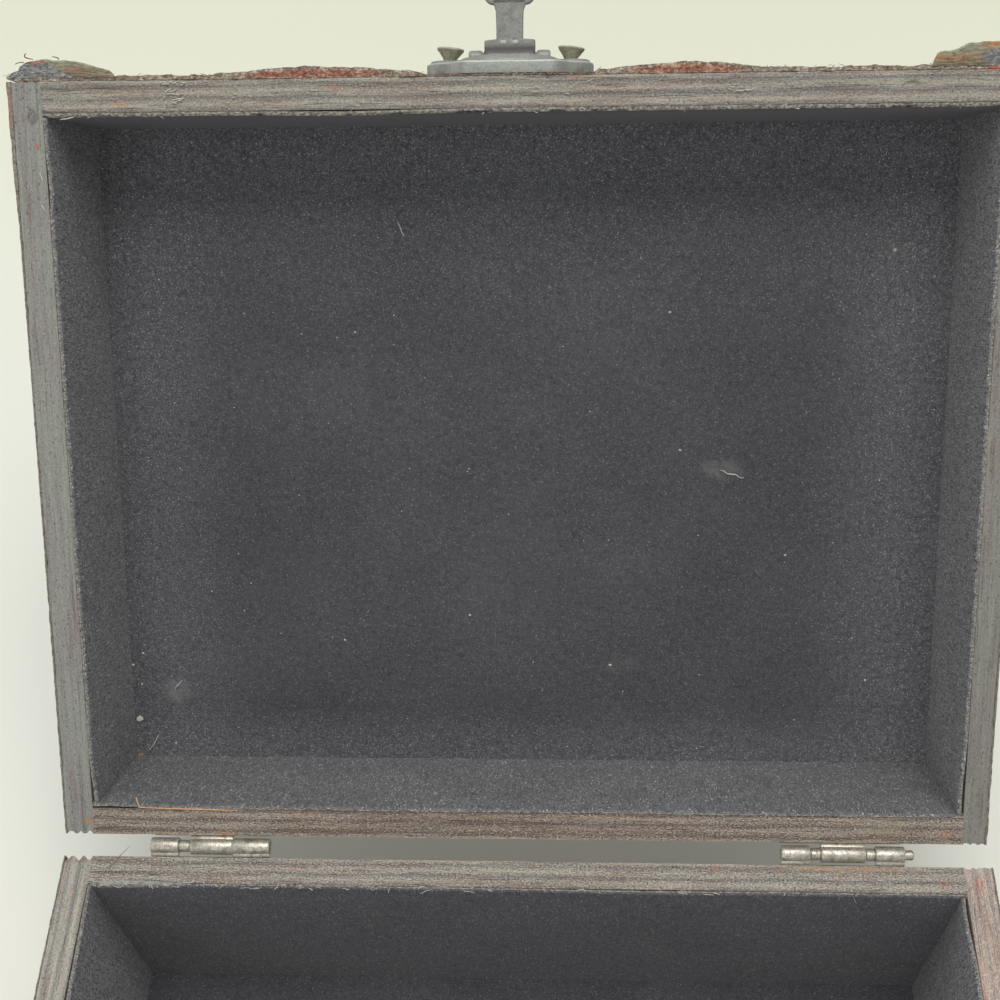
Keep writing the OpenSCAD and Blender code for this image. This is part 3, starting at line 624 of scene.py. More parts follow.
def wall_card(side, tray, seed):
    """A flocked card on a wall: its section runs up the pile face, over the cut edge and down the back.
    The face swells gently, the cut edge frays, and where it has peeled it leans off the wood."""
    length = WALLS[side][3]
    depth = (LID_H - TOP_T if tray == "lid" else BASE_H - FLOOR_T) - CARD
    margin = 0.0 if side in ("front", "rear") else PLY + CARD
    s = spaced(margin, length - margin, 0.45)
    face = np.concatenate([[CARD_DROP + 0.05], CARD_DROP + np.geomspace(0.3, depth - CARD_DROP, 26)])
    edge = np.array([-CARD + 0.1, -0.5, -0.35, -0.1])
    back = np.array([CARD_DROP + 0.2, CARD_DROP + 3, depth / 2, depth])
    across = np.concatenate([np.full(len(face), -CARD), edge, np.zeros(len(back))])
    low = np.concatenate([face[::-1], np.full(len(edge), CARD_DROP), back])
    S, A, H = np.broadcast_arrays(s[:, None], across[None, :], low[None, :])
    q = np.stack([S, A * 0, H], -1)
    top = np.exp(-(H - CARD_DROP) / 1.4)
    swell = 0.14 * (1 + noise(q, (26, 9, 17), seed, 2)) * smooth(0.2, 2.5, H) * smooth(0, 6, depth - H)
    fray = 0.3 * noise(q, (1.1, 9, 3), seed + 1, 3) + 0.35 * noise(q, (14, 9, 9), seed + 2, 2)
    lean = np.zeros(S.shape)
    for middle, half, lift in PEELS[tray, side]:
        lean += lift * np.exp(-((S - middle) / half) ** 2) * np.exp(-H / 7)
    a = A - swell * (A < -0.05) - lean
    h = H + top * (np.clip(fray, -0.2, 0.7) - 0.2 * (A > -0.6))
    if (side, tray) == ("rear", "base"):
        roll = np.exp(-((S - 10) / 8) ** 2) * np.exp(-H / 1.3)
        a, h = a + 0.6 * roll, h - 0.5 * roll
    points = on_wall(side, tray, S, a, h)
    pale = np.clip((A + 0.45) / 0.1, 0, 1) * (H < CARD_DROP + 0.3)
    ragged = (0.8 if (side, tray) == ("front", "lid") else 0.25) * np.exp(-(H - CARD_DROP) / 0.4) * (1 + noise(q, (2.5, 9, 3), seed + 3, 2))
    flat = on_wall(side, tray, S, A, H)
    # painted light level down the card, from its rim value to its panel value, broken by noise
    rim_painted_level, deep_painted_level = CARD_LIGHT_AND_SHADE[tray, side]
    painted_level = (rim_painted_level + (deep_painted_level - rim_painted_level) * smooth(0, 0.7, H / depth)) * (1 + 0.3 * noise(q, (9, 9, 4), seed + 4, 3))
    # painted shade: the base's side cards get less painted light toward their rear ends
    if tray == "base" and side in ("left", "right"):
        painted_level = painted_level * (0.35 + 0.65 * smooth(4, 22, length - S))
    return piece(f"{tray}_{side}_card", [part(points, lay=flat, wear=np.clip(pale + ragged, 0, 1), nap=painted_level,
                                              stain=painted(flat, FLOCK_SPOTS, tray))],
                 flock, tray, (f"{tray}_lining_{side}",), 60)


def panel_card(tray, seed):
    """The flocked card on a panel: a grid that waves by a fraction of a millimetre, dips at its edges."""
    x = spaced(-ROOM_W / 2, ROOM_W / 2, 1.0)
    y = spaced(-ROOM_D / 2, ROOM_D / 2, 1.0)
    ys = np.concatenate([y, [ROOM_D / 2, 0, -ROOM_D / 2]])
    if len(ys) % 2:
        ys = np.insert(ys, len(y), ROOM_D / 2)
    X, Y = np.broadcast_arrays(x[:, None], ys[None, :])
    face = (np.arange(len(ys)) < len(y))[None, :]
    q = np.stack([X, Y, X * 0], -1)
    edge = np.minimum(ROOM_W / 2 - np.abs(X), ROOM_D / 2 - np.abs(Y))
    rise = 0.16 * (1 + noise(q, 30, seed, 3)) * smooth(0, 9, edge) + 0.05 * noise(q, 5, seed + 1, 2)
    up = np.where(face, CARD + np.maximum(rise, 0), 0)
    z = RIM_Z + LID_H - TOP_T - up if tray == "lid" else FLOOR_T + up
    points = np.stack([X, Y, z], -1)
    node = "lid_lining_top" if tray == "lid" else "base_lining_floor"
    # painted light on the lid's panel, rising toward its front wall, its rear crease and its sides, where it lies in
    # shade
    if tray == "lid":
        painted_level = 0.08 + 0.14 * smooth(20, 60, -Y) + 0.14 * smooth(55, 71, -Y) + 0.18 * smooth(58, 71, Y) \
            + (0.18 + 0.02 * np.sign(X)) * smooth(60, 92, np.abs(X))
    else:
        painted_level = 0.1 + 0 * X * Y
    return piece(f"{tray}_panel_card", [part(points, wear=X * 0, nap=painted_level,
                                             stain=painted(points, FLOCK_SPOTS, tray))],
                 flock, tray, (node,), 60)


def cap(x, z, at_x, r, t):
    """A round cap of footprint radius r and height t, centred 8 mm above the rim."""
    ball = (r * r + t * t) / (2 * t)
    d = np.hypot(x - at_x, z - BASE_H - 8)
    return np.where(d < r, np.sqrt(np.maximum(ball * ball - d * d, 0)) - (ball - t), 0)


def rosette(x, z, r, petals):
    """A flower: petals by the cosine of the angle, a ring of veins and a domed heart, from 0 to 1."""
    d, turn = np.hypot(x, z) / r, np.arctan2(z, x)
    lobe = np.abs(np.cos(petals / 2 * turn))
    leaf = smooth(0.0, 0.35, 0.45 + 0.55 * lobe - d)
    vein = 1 - 0.5 * np.exp(-(np.sin(petals / 2 * turn) / 0.12) ** 2) * smooth(0.25, 0.5, d)
    heart = np.sqrt(np.clip(1 - (d / 0.24) ** 2, 0, 1))
    return np.maximum(leaf * vein * smooth(0.2, 0.34, d), heart)


def vine(t, e):
    """A running stem with a leaf in each bend: t runs along the border, e is the distance across it."""
    bend = 2.0 * np.sin(t * math.tau / 22)
    stem = 1 - smooth(0.25, 0.8, np.abs(e - bend))
    u = (t + 5.5) % 11 - 5.5
    flip = np.where(np.floor((t + 5.5) / 11) % 2 == 0, 1, -1)
    v = e - flip * 0.9
    leaf = 1 - smooth(0.7, 1.0, np.hypot(u / 3.6, v / 1.7) + 0.18 * np.cos(u * 3))
    rib = 1 - 0.6 * np.exp(-(v / 0.22) ** 2)
    return np.maximum(stem * 0.8, leaf * rib)


def tooling(x, y, half_w, half_h):
    """Tooled panel, from 0 to 1: two rims of beads and lines, a vine between them, and in the middle a
    lattice of crossed lines with a small flower in each field."""
    ex, ey = half_w - np.abs(x), half_h - np.abs(y)
    e = np.minimum(ex, ey)
    t = np.where(ex < ey, y, x)
    line = np.zeros(np.shape(e))
    for at, wide in ((2.2, 0.45), (3.8, 0.35), (13.2, 0.45)):
        line = np.maximum(line, 1 - smooth(wide, wide + 0.4, np.abs(e - at)))
    bead = np.sqrt(np.clip(1 - ((e - 15.2) / 0.9) ** 2 - (((t + 1) % 2 - 1) / 0.9) ** 2, 0, 1))
    border = vine(t, e - 8.5) * (e > 4.4) * (e < 12.6)
    p, q = (x + y) / 14, (x - y) / 14
    cross = np.minimum(np.abs(p - np.round(p)), np.abs(q - np.round(q))) * 14 / math.sqrt(2)
    lattice = 1 - smooth(0.3, 0.8, cross)
    fx = (np.floor(p) + 0.5 + np.floor(q) + 0.5) * 7
    fy = (np.floor(p) - np.floor(q)) * 7
    field = np.maximum(lattice * 0.7, rosette(x - fx, y - fy, 3.4, 4))
    return np.maximum(np.maximum(line, bead), np.where(e < 17, border, field * (e > 17.5)))


def front_relief(x, z):
    """The closed front: its tooled border, and a flower in low relief over each swell."""
    middle = (HEM + RIM_Z + LID_H) / 2
    height = tooling(x, z - middle, WIDTH / 2, (RIM_Z + LID_H - HEM) / 2) * 0.22
    swell = np.maximum(cap(x, z, LATCH_X - 38.1, 21, 1.5), cap(x, z, LATCH_X + 34.4, 17.6, 1.5))
    flower = np.maximum(rosette(x - LATCH_X + 38.1, z - BASE_H - 8, 20, 8),
                        rosette(x - LATCH_X - 34.4, z - BASE_H - 8, 16.5, 8))
    on = smooth(0.05, 0.4, swell)
    return np.where(swell > 0, swell * (0.86 + 0.14 * flower), 0) + height * (1 - on), \
        np.maximum(on * flower, tooling(x, z - middle, WIDTH / 2, (RIM_Z + LID_H - HEM) / 2) * (1 - on))


def wall_skin(side, tray, seed):
    """The leather on a wall: its section runs over the cut edge, down the tooled face and up the back.
    The cut edge is ragged by fine noise, and the skin's edge on the left has come away in steps."""
    s = spaced(-PLY - SKIN, ROOM_W + PLY + SKIN, 0.6) if side == "front" else spaced(0, DEPTH, 0.6)
    depth = LID_H if tray == "lid" else BASE_H - HEM
    face = np.concatenate([[0.12, 0.4], spaced(0.9, depth, 0.75)])
    edge = np.linspace(0, 1, 7)
    back = np.array([depth, depth / 2])
    share = np.concatenate([edge, np.ones(len(face)), [0, 0]])
    low = np.concatenate([edge * 0, face, back])
    if len(low) % 2:
        share, low = np.append(share, 0), np.append(low, depth / 4)
    S, K, H = np.broadcast_arrays(s[:, None], share[None, :], low[None, :])
    flat = on_wall(side, tray, S, PLY + SKIN, H)
    lay = on_wall(side, tray, S, PLY + SKIN * K * 1.8, H)
    q = np.stack([S, K * 0, H], -1)
    near = np.exp(-H / 0.5)
    rough = noise(q, (0.9, 9, 1.2), seed, 3)
    if side == "front":
        rise, relief = front_relief(flat[..., 0], flat[..., 2])
        thick = SKIN - 0.05 + rise + 0.12 * noise(q, (7, 9, 9), seed + 1, 2) \
            + np.exp(-H / 1.2) * (0.2 + 0.18 * rough + 0.2 * noise(q, (6, 9, 9), seed + 6, 2))
        pressed = 1 - smooth(16.2, 17.2, np.abs(flat[..., 0] - LATCH_X))
        thick = thick - pressed * np.exp(-H / 1.5) * (thick - 0.16)
        lay = on_wall(side, tray, S, PLY + K * thick, H)
    else:
        middle = (HEM + RIM_Z + LID_H) / 2
        relief = tooling(flat[..., 1], flat[..., 2] - middle, DEPTH / 2, (RIM_Z + LID_H - HEM) / 2)
        rise = relief * 0.22 * (0.15 + 0.85 * smooth(1, 4, H))
        thick = SKIN - 0.24 + rise + 0.12 * smooth(0, 3, H) + 0.07 * near * rough
    if (side, tray) == ("left", "lid"):
        gone = smooth(0.2, 1.2, S - 10) * 0.6 + smooth(0.2, 1.2, S - 19) + smooth(0.2, 1.2, S - 25)
        thick = thick + (0.42 - 0.16 * gone) * near
    a = PLY - rubbed(side, tray, S, H) + K * np.maximum(thick, 0.1)
    if (side, tray) == ("front", "lid"):
        a = a + 0.5 * (1 - smooth(0, 2.2, S + PLY + SKIN)) * np.exp(-H / 4)
    ragged = 0.34 * noise(np.stack([S, K * 3, H * 0], -1), (0.7, 1.1, 9), seed + 2, 3)
    h = H + near * np.maximum(ragged + (0.14 if side == "front" else 0.25), 0)
    points = on_wall(side, tray, S, a, h)
    cut = np.where(H < 0.05, 1.0, np.exp(-H / 0.3) * 0.9)
    if side == "front":
        puffed = np.clip((rise - 0.3) / 0.8, 0, 1) * (1 - 0.95 * smooth(0.5, 0.85, K)) * smooth(-0.1, 0.2, K)
        finish = leather
    else:
        puffed = rise * 0
        finish = side_leather
    if (side, tray) == ("left", "lid"):
        puffed = puffed + 0.2 * (1 - smooth(8, 11, S))
    return piece(f"{tray}_{side}_leather",
                 [part(points, lay=lay, relief=relief, cut=cut, thick=puffed,
                       stain=painted(flat, SKIN_SPOTS, tray))],
                 finish, tray, (f"{tray}_{side}_skin",), 60)


def top_skin(seed):
    """The leather on the lid's top: a tooled grid with its edges turned down to the board."""
    x = spaced(-WIDTH / 2, WIDTH / 2, 0.75)
    y = spaced(FRONT_Y - SKIN, DEPTH / 2, 0.75)
    ys = np.concatenate([y, [DEPTH / 2, FRONT_Y - SKIN]])
    if len(ys) % 2:
        ys = np.insert(ys, len(y), DEPTH / 2)
    X, Y = np.broadcast_arrays(x[:, None], ys[None, :])
    face = (np.arange(len(ys)) < len(y))[None, :]
    relief = tooling(X, Y + SKIN / 2, WIDTH / 2, (DEPTH + SKIN) / 2)
    big = rosette(X, Y, 34, 12)
    ring = np.hypot(X, Y)
    relief = np.where(ring < 37, np.maximum(big, 1 - smooth(0.5, 1.0, np.abs(ring - 35.6))), relief)
    edge = np.minimum(WIDTH / 2 - np.abs(X), (DEPTH + SKIN) / 2 - np.abs(Y + SKIN / 2))
    rise = SKIN - 0.1 + relief * (0.24 + 0.2 * (ring < 37)) - 0.4 * np.exp(-edge / 0.5)
    rise = rise + 0.05 * noise(np.stack([X, Y, X * 0], -1), 9, seed, 3)
    z = RIM_Z + LID_H + np.where(face, np.maximum(rise, 0.1), 0)
    points = np.stack([X, Y, z], -1)
    return piece("lid_top_leather", [part(points, relief=relief, cut=X * 0, thick=X * 0)],
                 leather, "lid", ("lid_top_skin",), 60)


LUMP_SPOTS = [spot((27, 59, 42, 64), (190, 116, 104), 0.8), spot((64, 66, 82, 71), (150, 108, 92), 0.6),
              spot((936, 55, 972, 60), (182, 134, 92), 0.7), spot((983, 42, 998, 48), (204, 136, 92), 0.8)]
# Outlines of the corner lumps at the rim: distance from the box's side, and height over the leather
LEFT_LUMP = ((0, 0.3), (1.4, 1.0), (2.5, 1.4), (2.8, 2.2), (3.8, 2.9), (5.3, 3.4), (8.3, 3.6), (9.4, 3.3),
             (11.3, 3.35), (13.2, 3.0), (15.6, 2.6), (18.0, 1.9), (20.4, 1.25), (21.3, 0.6), (21.6, 0.05))
RIGHT_LUMP = ((0, 4.1), (3, 4.5), (9.2, 4.4), (10.2, 4.35), (12.6, 4.15), (15.0, 4.05), (16.2, 3.5), (17.0, 3.05),
              (18.3, 2.75), (20.0, 2.6), (20.7, 2.2), (21.3, 0.9), (21.5, 0.05))


def corner_lump(side, tray, seed):
    """A built-up corner: its height at the sawn rim follows the outline in the photograph. Rings run up the
    cut face, back over the dome in torn steps, and close beneath it. It is flush with the box's side."""
    outline = np.array(LEFT_LUMP if side < 0 else RIGHT_LUMP)
    u = spaced(0, outline[-1, 0], 0.2)
    x = side * (WIDTH / 2 - u)
    far = 20.0 if tray == "lid" else 8.5
    away = np.concatenate([[0.15, 0.4], spaced(0.8, far, 0.4)])
    share = np.linspace(0, 1, 19)
    w = np.concatenate([share * 0, away])
    k = np.concatenate([share, np.ones(len(away))])
    U, W, K = np.broadcast_arrays(u[:, None], w[None, :], k[None, :])
    q = np.stack([U, W, U * 0], -1)
    high = np.interp(U + 0.27 * W, *outline.T) + (0.16 * noise(q, 0.8, seed, 3) + 0.22 * noise(q, 2.6, seed + 1, 2)) \
        * smooth(0, 1.2, outline[-1, 0] - U - 0.27 * W)
    fall = np.clip(1 - np.clip(W / far, 0, 1) ** 1.5, 0, 1) ** 0.8
    level = high * fall / 0.95 + 0.2 * noise(q, 3, seed + 2, 2)
    step = (np.floor(level) + smooth(0.4, 0.95, level - np.floor(level))) * 0.95
    over = np.where(W > 0.2, 0.6 * high * fall + 0.4 * np.minimum(step, high), high) * smooth(0, 0.3, far - W)
    out = K * np.maximum(over, 0.03)
    r = np.stack([U, out, W * 0], -1)
    ragged = (0.4 * np.clip(noise(r, (0.9, 0.7, 1), seed + 4, 3), -0.2, 1)
              + 0.3 * np.clip(noise(r, (5, 0.5, 1), seed + 5, 2), 0, 1)) * (W < 0.2)
    w = W + ragged
    z = RIM_Z + w if tray == "lid" else BASE_H - w
    points = np.stack([x[:, None] + 0 * U, FRONT_Y - SKIN + 0.05 - out, z], -1)
    layer = np.clip(out / np.maximum(high, 0.3), 0, 1)
    if points.shape[1] % 2:
        points = np.concatenate([points, (points[:, :1] + points[:, -1:] * 2) / 3], 1)
        layer = np.concatenate([layer, layer[:, :1]], 1)
    out = FRONT_Y - SKIN - points[..., 1]
    inland = WIDTH / 2 - np.abs(points[..., 0])
    flat = points.copy()
    away = np.abs(points[..., 2] - (RIM_Z if tray == "lid" else BASE_H))
    flat[..., 2] = RIM_Z if tray == "lid" else BASE_H
    rim_side = 1 - smooth(0.8, 4.5, away + 0.9 * noise(points, 2.2, seed + 6, 2))
    if side < 0:
        felt = 1 - smooth(8.5, 11.5, inland + 1.2 * out - 2)
        felt = felt * (1 - 0.8 * smooth(0.75, 0.95, layer) * smooth(4, 6, inland))
        felt = np.maximum(felt, (1 - smooth(0.5, 1.1, out)) * (1 - smooth(12, 15, inland)))
    else:
        felt = (1 - smooth(9.0, 15.0, inland)) * (1 - smooth(2.2, 3.8, out))
    stain = painted(flat, LUMP_SPOTS, tray)
    stain[..., 3] *= rim_side
    name = "left" if side < 0 else "right"
    return piece(f"{tray}_{name}_lump",
                 [part(points, layer=layer, felt=felt * rim_side, hide=1 - rim_side, stain=stain)],
                 corner_leather, tray, (f"{tray}_{name}_boss",), 60)


# Small shapes


def bent_sheet(path, thick):
    """The outline of a bent strip: its middle line moved half the thickness to either side."""
    path = np.asarray(path, float)
    way = np.gradient(path, axis=0)
    normal = np.stack([-way[:, 1], way[:, 0]], -1) / np.linalg.norm(way, axis=1)[:, None]
    return np.vstack([path + normal * thick / 2, (path - normal * thick / 2)[::-1]])


def box_ring(half_w, half_h, r, n=5):
    """A rounded rectangle as a ring of points, n to each corner."""
    turn = np.linspace(0, math.pi / 2, n)
    ring = []
    for k, (sx, sy) in enumerate(((1, 1), (-1, 1), (-1, -1), (1, -1))):
        a = turn + k * math.pi / 2
        ring.append(np.stack([sx * (half_w - r) + r * np.cos(a), sy * (half_h - r) + r * np.sin(a)], -1))
    return np.vstack(ring)


def rod(x0, x1, radius, y, z, tip=0.3, m=28, bulge=None):
    """A turned rod along x: rings whose radius shrinks over the rounded tips."""
    ease = np.sqrt(np.clip(1 - (1 - np.linspace(0, 1, 5)) ** 2, 0.0, 1))
    ends = np.concatenate([x0 + tip * np.linspace(0, 1, 5), x1 - tip * np.linspace(1, 0, 5)])
    r = np.concatenate([radius - tip + tip * ease, (radius - tip + tip * ease)[::-1]])
    turn = np.arange(m) / m * math.tau
    return part(np.stack(np.broadcast_arrays(ends[:, None], y + r[:, None] * np.cos(turn),
                                             z + r[:, None] * np.sin(turn)), -1), wear=0 * ends[:, None] + 0.4)


def curl(x0, x1, up):
    """A rolled barrel: the leaf's strip runs down to the axis and curls once round the pin."""
    turn = np.linspace(math.radians(178), math.radians(178 + 318), 34)
    tail = np.array([[-2.0, z] for z in np.linspace(3.2, 0.9, 5)])
    blend = np.array([[-1.9, 0.5], [-1.68, 0.2]])
    ring = np.stack([1.42 * np.cos(turn), 1.42 * np.sin(turn)], -1)
    path = np.vstack([tail, blend, ring])
    x = np.array([x0, x0 + 0.08, x0 + 0.22, x1 - 0.22, x1 - 0.08, x1])
    rings = []
    for k, at in enumerate(x):
        loop = bent_sheet(path, (0.46, 0.66, 0.76, 0.76, 0.66, 0.46)[k])
        rings.append(np.column_stack([np.full(len(loop), at), AXIS[1] + loop[:, 0], AXIS[2] + up * loop[:, 1]]))
    wear = 0.3 + 0.5 * np.array([1, 0.8, 0.2, 0.2, 0.8, 1])[:, None]
    return part(np.array(rings), wear=wear)


def plate_slab(x0, x1, z0, z1, y, thick, r=0.25):
    """A flat leaf with rounded edges: a rounded thin ring in y and z, carried along x, drawn in at its ends."""
    x = np.concatenate([x0 + np.array([0, 0.1, 0.3, 1.0]), spaced(x0 + 2, x1 - 2, 2.0),
                        x1 - np.array([1.0, 0.3, 0.1, 0])])
    inset = np.concatenate([[0.3, 0.12, 0, 0], np.zeros(len(x) - 8), [0, 0, 0.12, 0.3]])
    round_off = np.concatenate([[1.0, 0.75, 0.5, 0.0], np.zeros(len(x) - 8), [0.0, 0.5, 0.75, 1.0]])
    rings = []
    for at, i, o in zip(x, inset, round_off):
        ring = box_ring(thick / 2 - i * 0.6, (z1 - z0) / 2 - (i + o) / 2, r)
        rings.append(np.column_stack([np.full(len(ring), at), y + ring[:, 0],
                                      (z0 + z1) / 2 - (o / 2) * np.sign(z0 + z1 - 2 * AXIS[2]) + ring[:, 1]]))
    return part(np.array(rings), wear=np.full((len(x), 1), 0.2))


def pan_head(x, z, out_y, sign, radius=1.7, high=0.7, lean=0.0):
    """A slotted pan head: a polar grid whose height is a low dome, less a slot across it, on a short neck."""
    turn = np.arange(40) / 40 * math.tau
    share = np.concatenate([[0.5, 0.5, 0.985, 1.0], np.linspace(0.97, 0.04, 14)])
    R = share[:, None] * radius * np.ones(40)
    dx, dz = R * np.cos(turn), R * np.sin(turn)
    dome = high * (0.55 + 0.45 * np.sqrt(np.clip(1 - (R / radius) ** 2 * 0.95, 0, 1)))
    c, s = math.cos(lean), math.sin(lean)
    slot = np.abs(dx * s + dz * c) < 0.24
    height = dome - slot * 0.38 * (R < radius * 0.99)
    height[0], height[1], height[2] = -1.5, 0.02, 0.02
    return part(np.stack([x + dx, out_y + sign * height, z + dz], -1), wear=np.where(slot, 0.0, 0.6))


def hinge(side, name):
    """One hinge: the base's leaf with two end barrels, the lid's leaf with the middle one, and the pin."""
    mid = side * HINGE_X + HINGE_SHIFT
    y = AXIS[1] - 2.0
    middle = mid + (0.3 if side < 0 else 0.1)
    right_l = 8.0 if side < 0 else 6.1
    out = 0.0 if side < 0 else 2.0
    leaf = plate_slab(mid - 13, mid + 13, AXIS[2] - 15, AXIS[2] - 1.8, y, 0.8)
    piece(f"{name}_lower_leaf", [leaf, curl(mid - 13, mid - 6.9, -1), curl(mid + 13 - right_l, mid + 13, -1)],
          hinge_steel, "base", (f"{name}_base_leaf",))
    leaf = plate_slab(mid - 13, mid + 13, AXIS[2] + 1.8, AXIS[2] + 15, y, 0.8)
    piece(f"{name}_upper_leaf", [leaf, curl(middle - 4.65, middle + 4.65, 1)],
          hinge_steel, "lid", (f"{name}_lid_leaf",))
    pin = [rod(mid - 13, mid + 13 + out, 1.05, AXIS[1], AXIS[2], 0.5)]
    pin += [rod(a + 0.12, b - 0.12, 1.32, AXIS[1], AXIS[2], 0.25)
            for a, b in ((mid - 6.9, middle - 4.65), (middle + 4.65, mid + 13 - right_l)) if b - a > 1]
    piece(f"{name}_rivet", pin,
          hinge_steel, "base", (f"{name}_pin",))


def leaf_screws(tray, up):
    """Four slotted pan heads on the leaves of one tray, each turned its own way."""
    heads = [pan_head(side * HINGE_X + HINGE_SHIFT + dx, AXIS[2] + up * 9.3, DEPTH / 2 + 0.8, 1, lean=0.9 * k + side)
             for k, (side, dx) in enumerate(((-1, -8.5), (-1, 8.5), (1, -8.5), (1, 8.5)))]
    piece(f"{tray}_leaf_screws", heads, hinge_steel, tray, (f"hinge_{tray}_screws",))


def exit_distance(inside, turn, far=24.0):
    """How far a ray from the middle goes before it leaves a shape, for each angle."""
    r = np.linspace(0, far, 2400)
    hit = inside(r[:, None] * np.cos(turn), r[:, None] * np.sin(turn))
    return r[len(r) - 1 - np.argmax(hit[::-1], 0)]


def cast_plate(x, z, outline, levels, top, y):
    """A cast plate: rings follow the outline up the side and over the bevel, then shrink to the middle
    over a face whose height is a function of place."""
    turn = (np.arange(144) + 0.5) / 144 * math.tau
    far = exit_distance(outline, turn)
    far = (far + np.roll(far, 1) + np.roll(far, -1)) / 3
    rings, wear_and_highlight = [], []
    for inset, out in levels:
        r = far - inset
        rings.append(np.stack([r * np.cos(turn), r * np.sin(turn), np.full(144, out)], -1))
        # the bevel's edge is marked fully worn, which lightens it: edge wear and a painted highlight line
        wear_and_highlight.append(np.full(144, 1.0 if 0 < inset < 0.4 else 0.3))
    start = far - levels[-1][0]
    for f in np.linspace(0.985, 0.02, 34):
        r = start * f
        px, pz = r * np.cos(turn), r * np.sin(turn)
        out, wear = top(px, pz, far - r)
        rings.append(np.stack([px, pz, out], -1))
        wear_and_highlight.append(wear)
    p = np.array(rings)
    q = np.stack([p[..., 0], p[..., 1], p[..., 0] * 0], -1)
    bump = 0.06 * noise(q, 1.6, 77, 3) * (np.arange(len(p)) > 1)[:, None]
    points = np.stack([x + p[..., 0], y - p[..., 2] - bump, z + p[..., 1]], -1)
    return part(points, wear=np.clip(np.array(wear_and_highlight), 0, 1))


def latch():
    """The latch plate with its crown, side lobes and lugs, its two proud screws and the hasp's pin."""
    mid_z = RIM_Z + 1.2 + 7.5

    def outline(px, pz):
        w, edge, h = 13.6, 9.15, 7.5
        octagon = (np.abs(px) < w) & (np.abs(pz) < h) & (np.abs(px) + np.abs(pz) < w + h - (w - edge))
        return octagon | (np.hypot(np.abs(px) - 11.9, pz) < 4.6)

    def face(px, pz, inset):
        up = pz + 8.7
        core = np.minimum(9.6 - np.abs(px) + 0.35 * np.maximum(0, 7.5 - np.abs(pz)), 7.5 - np.abs(pz))
        slope = np.clip(1 - np.maximum(np.abs(px) - 3.7, 0) / 5.6, 0, 1)
        crown = smooth(0.3, 1.7, core) * (0.35 + 0.65 * slope) * (1 - smooth(6.0, 6.9, up))
        lobe = 0.62 * np.sqrt(np.clip(1 - ((np.hypot(np.abs(px) - 11.9, pz)) / 4.9) ** 2, 0, 1))
        well = smooth(-0.3, 0.3, 5.3 - np.abs(px)) * smooth(-0.3, 0.3, up - 4.8) * smooth(-0.3, 0.3, 9.5 - up)
        rim = 0.25 * np.exp(-((inset - 1.4) / 0.35) ** 2) * (up > 9.5)
        out = 3.0 + np.maximum(1.32 * crown, lobe) + rim
        out = out * (1 - well) + np.minimum(out, 1.7) * well
        # painted highlight: a bright line across the crown's lip, given as wear
        lip_highlight = np.exp(-((up - 4.4) / 0.35) ** 2) * (np.abs(px) < 4.6)
        return out, 0.2 + 0.75 * lip_highlight

    levels = [(0.1, 0.5), (0.0, 0.62), (0.0, 2.55), (0.04, 2.7), (0.12, 2.83), (0.3, 2.93), (0.6, 2.98)]
    plate = cast_plate(LATCH_X, mid_z, outline, levels, face, FRONT_Y)
    pin_y, pin_z = FRONT_Y - PIN_OUT, RIM_Z + PIN_UP
    lugs = []
    for s in (-1, 1):
        x = LATCH_X + s * (5.3 + 1.35) + np.array([-1.35, -1.28, -1.05, -0.6, 0.6, 1.05, 1.28, 1.35])
        shrink = np.array([0.4, 0.18, 0.05, 0, 0, 0.05, 0.18, 0.4])
        turn = np.linspace(math.pi, 0, 17)
        rings = []
        for at, k in zip(x, shrink):
            r = 1.5 - k
            arc = np.stack([-np.sin(turn) * (r - 0.3), np.cos(turn) * r], -1)
            loop = np.vstack([[[3.5, -1.5 + k * 0.6]], [[1.5, -1.5 + k * 0.6]], arc,
                              [[1.5, 1.5 - k * 0.6]], [[3.5, 1.5 - k * 0.6]], [[3.5, 0.0]]])
            rings.append(np.column_stack([np.full(len(loop), at), pin_y + loop[:, 0], pin_z + loop[:, 1]]))
        lugs.append(part(np.array(rings), wear=0.45 + shrink[:, None]))
    piece("latch_casting", [plate] + lugs, latch_metal, "lid", ("latch_plate",), 28)
    screws = []
    lean = math.radians(6)
    for k, s in enumerate((-1, 1)):
        turn = np.arange(40) / 40 * math.tau
        profile = [(0.82, -2.2)] + [(0.82 + 0.14 * (i % 2), -1.9 + 0.26 * i) for i in range(8)] \
            + [(0.95, 0.2), (1.2, 0.5), (1.42, 1.0), (2.56, 2.5), (2.66, 2.62), (2.66, 2.82), (2.5, 2.95)] \
            + [(r, 2.97 + 0.1 * (1 - (r / 2.45) ** 2)) for r in np.linspace(2.3, 0.1, 10)]
        r, out = np.array(profile).T
        R, O = np.broadcast_arrays(r[:, None], out[:, None] * np.ones(40))
        dx, dz = R * np.cos(turn), R * np.sin(turn)
        slot = (np.abs(dz * math.cos(0.4 * k) + dx * math.sin(0.4 * k)) < 0.3) & (O > 2.9)
        chips = 0.06 * noise(np.stack([dx, dz, O], -1), 0.9, 31 + k, 2) * (O > 0.8)
        dx, dz, O = dx * (1 + chips), dz * (1 + chips), O - slot * 0.75 + chips - 0.1 * k
        points = np.stack([LATCH_X - 0.1 + s * 11.9 + dx * math.cos(lean) + O * math.sin(lean),
                           FRONT_Y - 3.1 - O * math.cos(lean) + dx * math.sin(lean), mid_z + dz], -1)
        # painted shade on the underside of each screw head
        screws.append(part(points, wear=np.where(slot, 0, np.where(O > 2.55, 0.7, 0.1)),
                           soot=np.where((O > 1.0) & (O < 2.3), 0.35, 0.0)))
    piece("latch_proud_screws", screws, screw_metal, "lid", ("latch_screws",), 35)
    piece("hasp_rivet", [rod(LATCH_X - 8.0, LATCH_X + 8.0, 0.8, pin_y, pin_z, 0.25)],
          latch_metal, "lid", ("hasp_pin",))


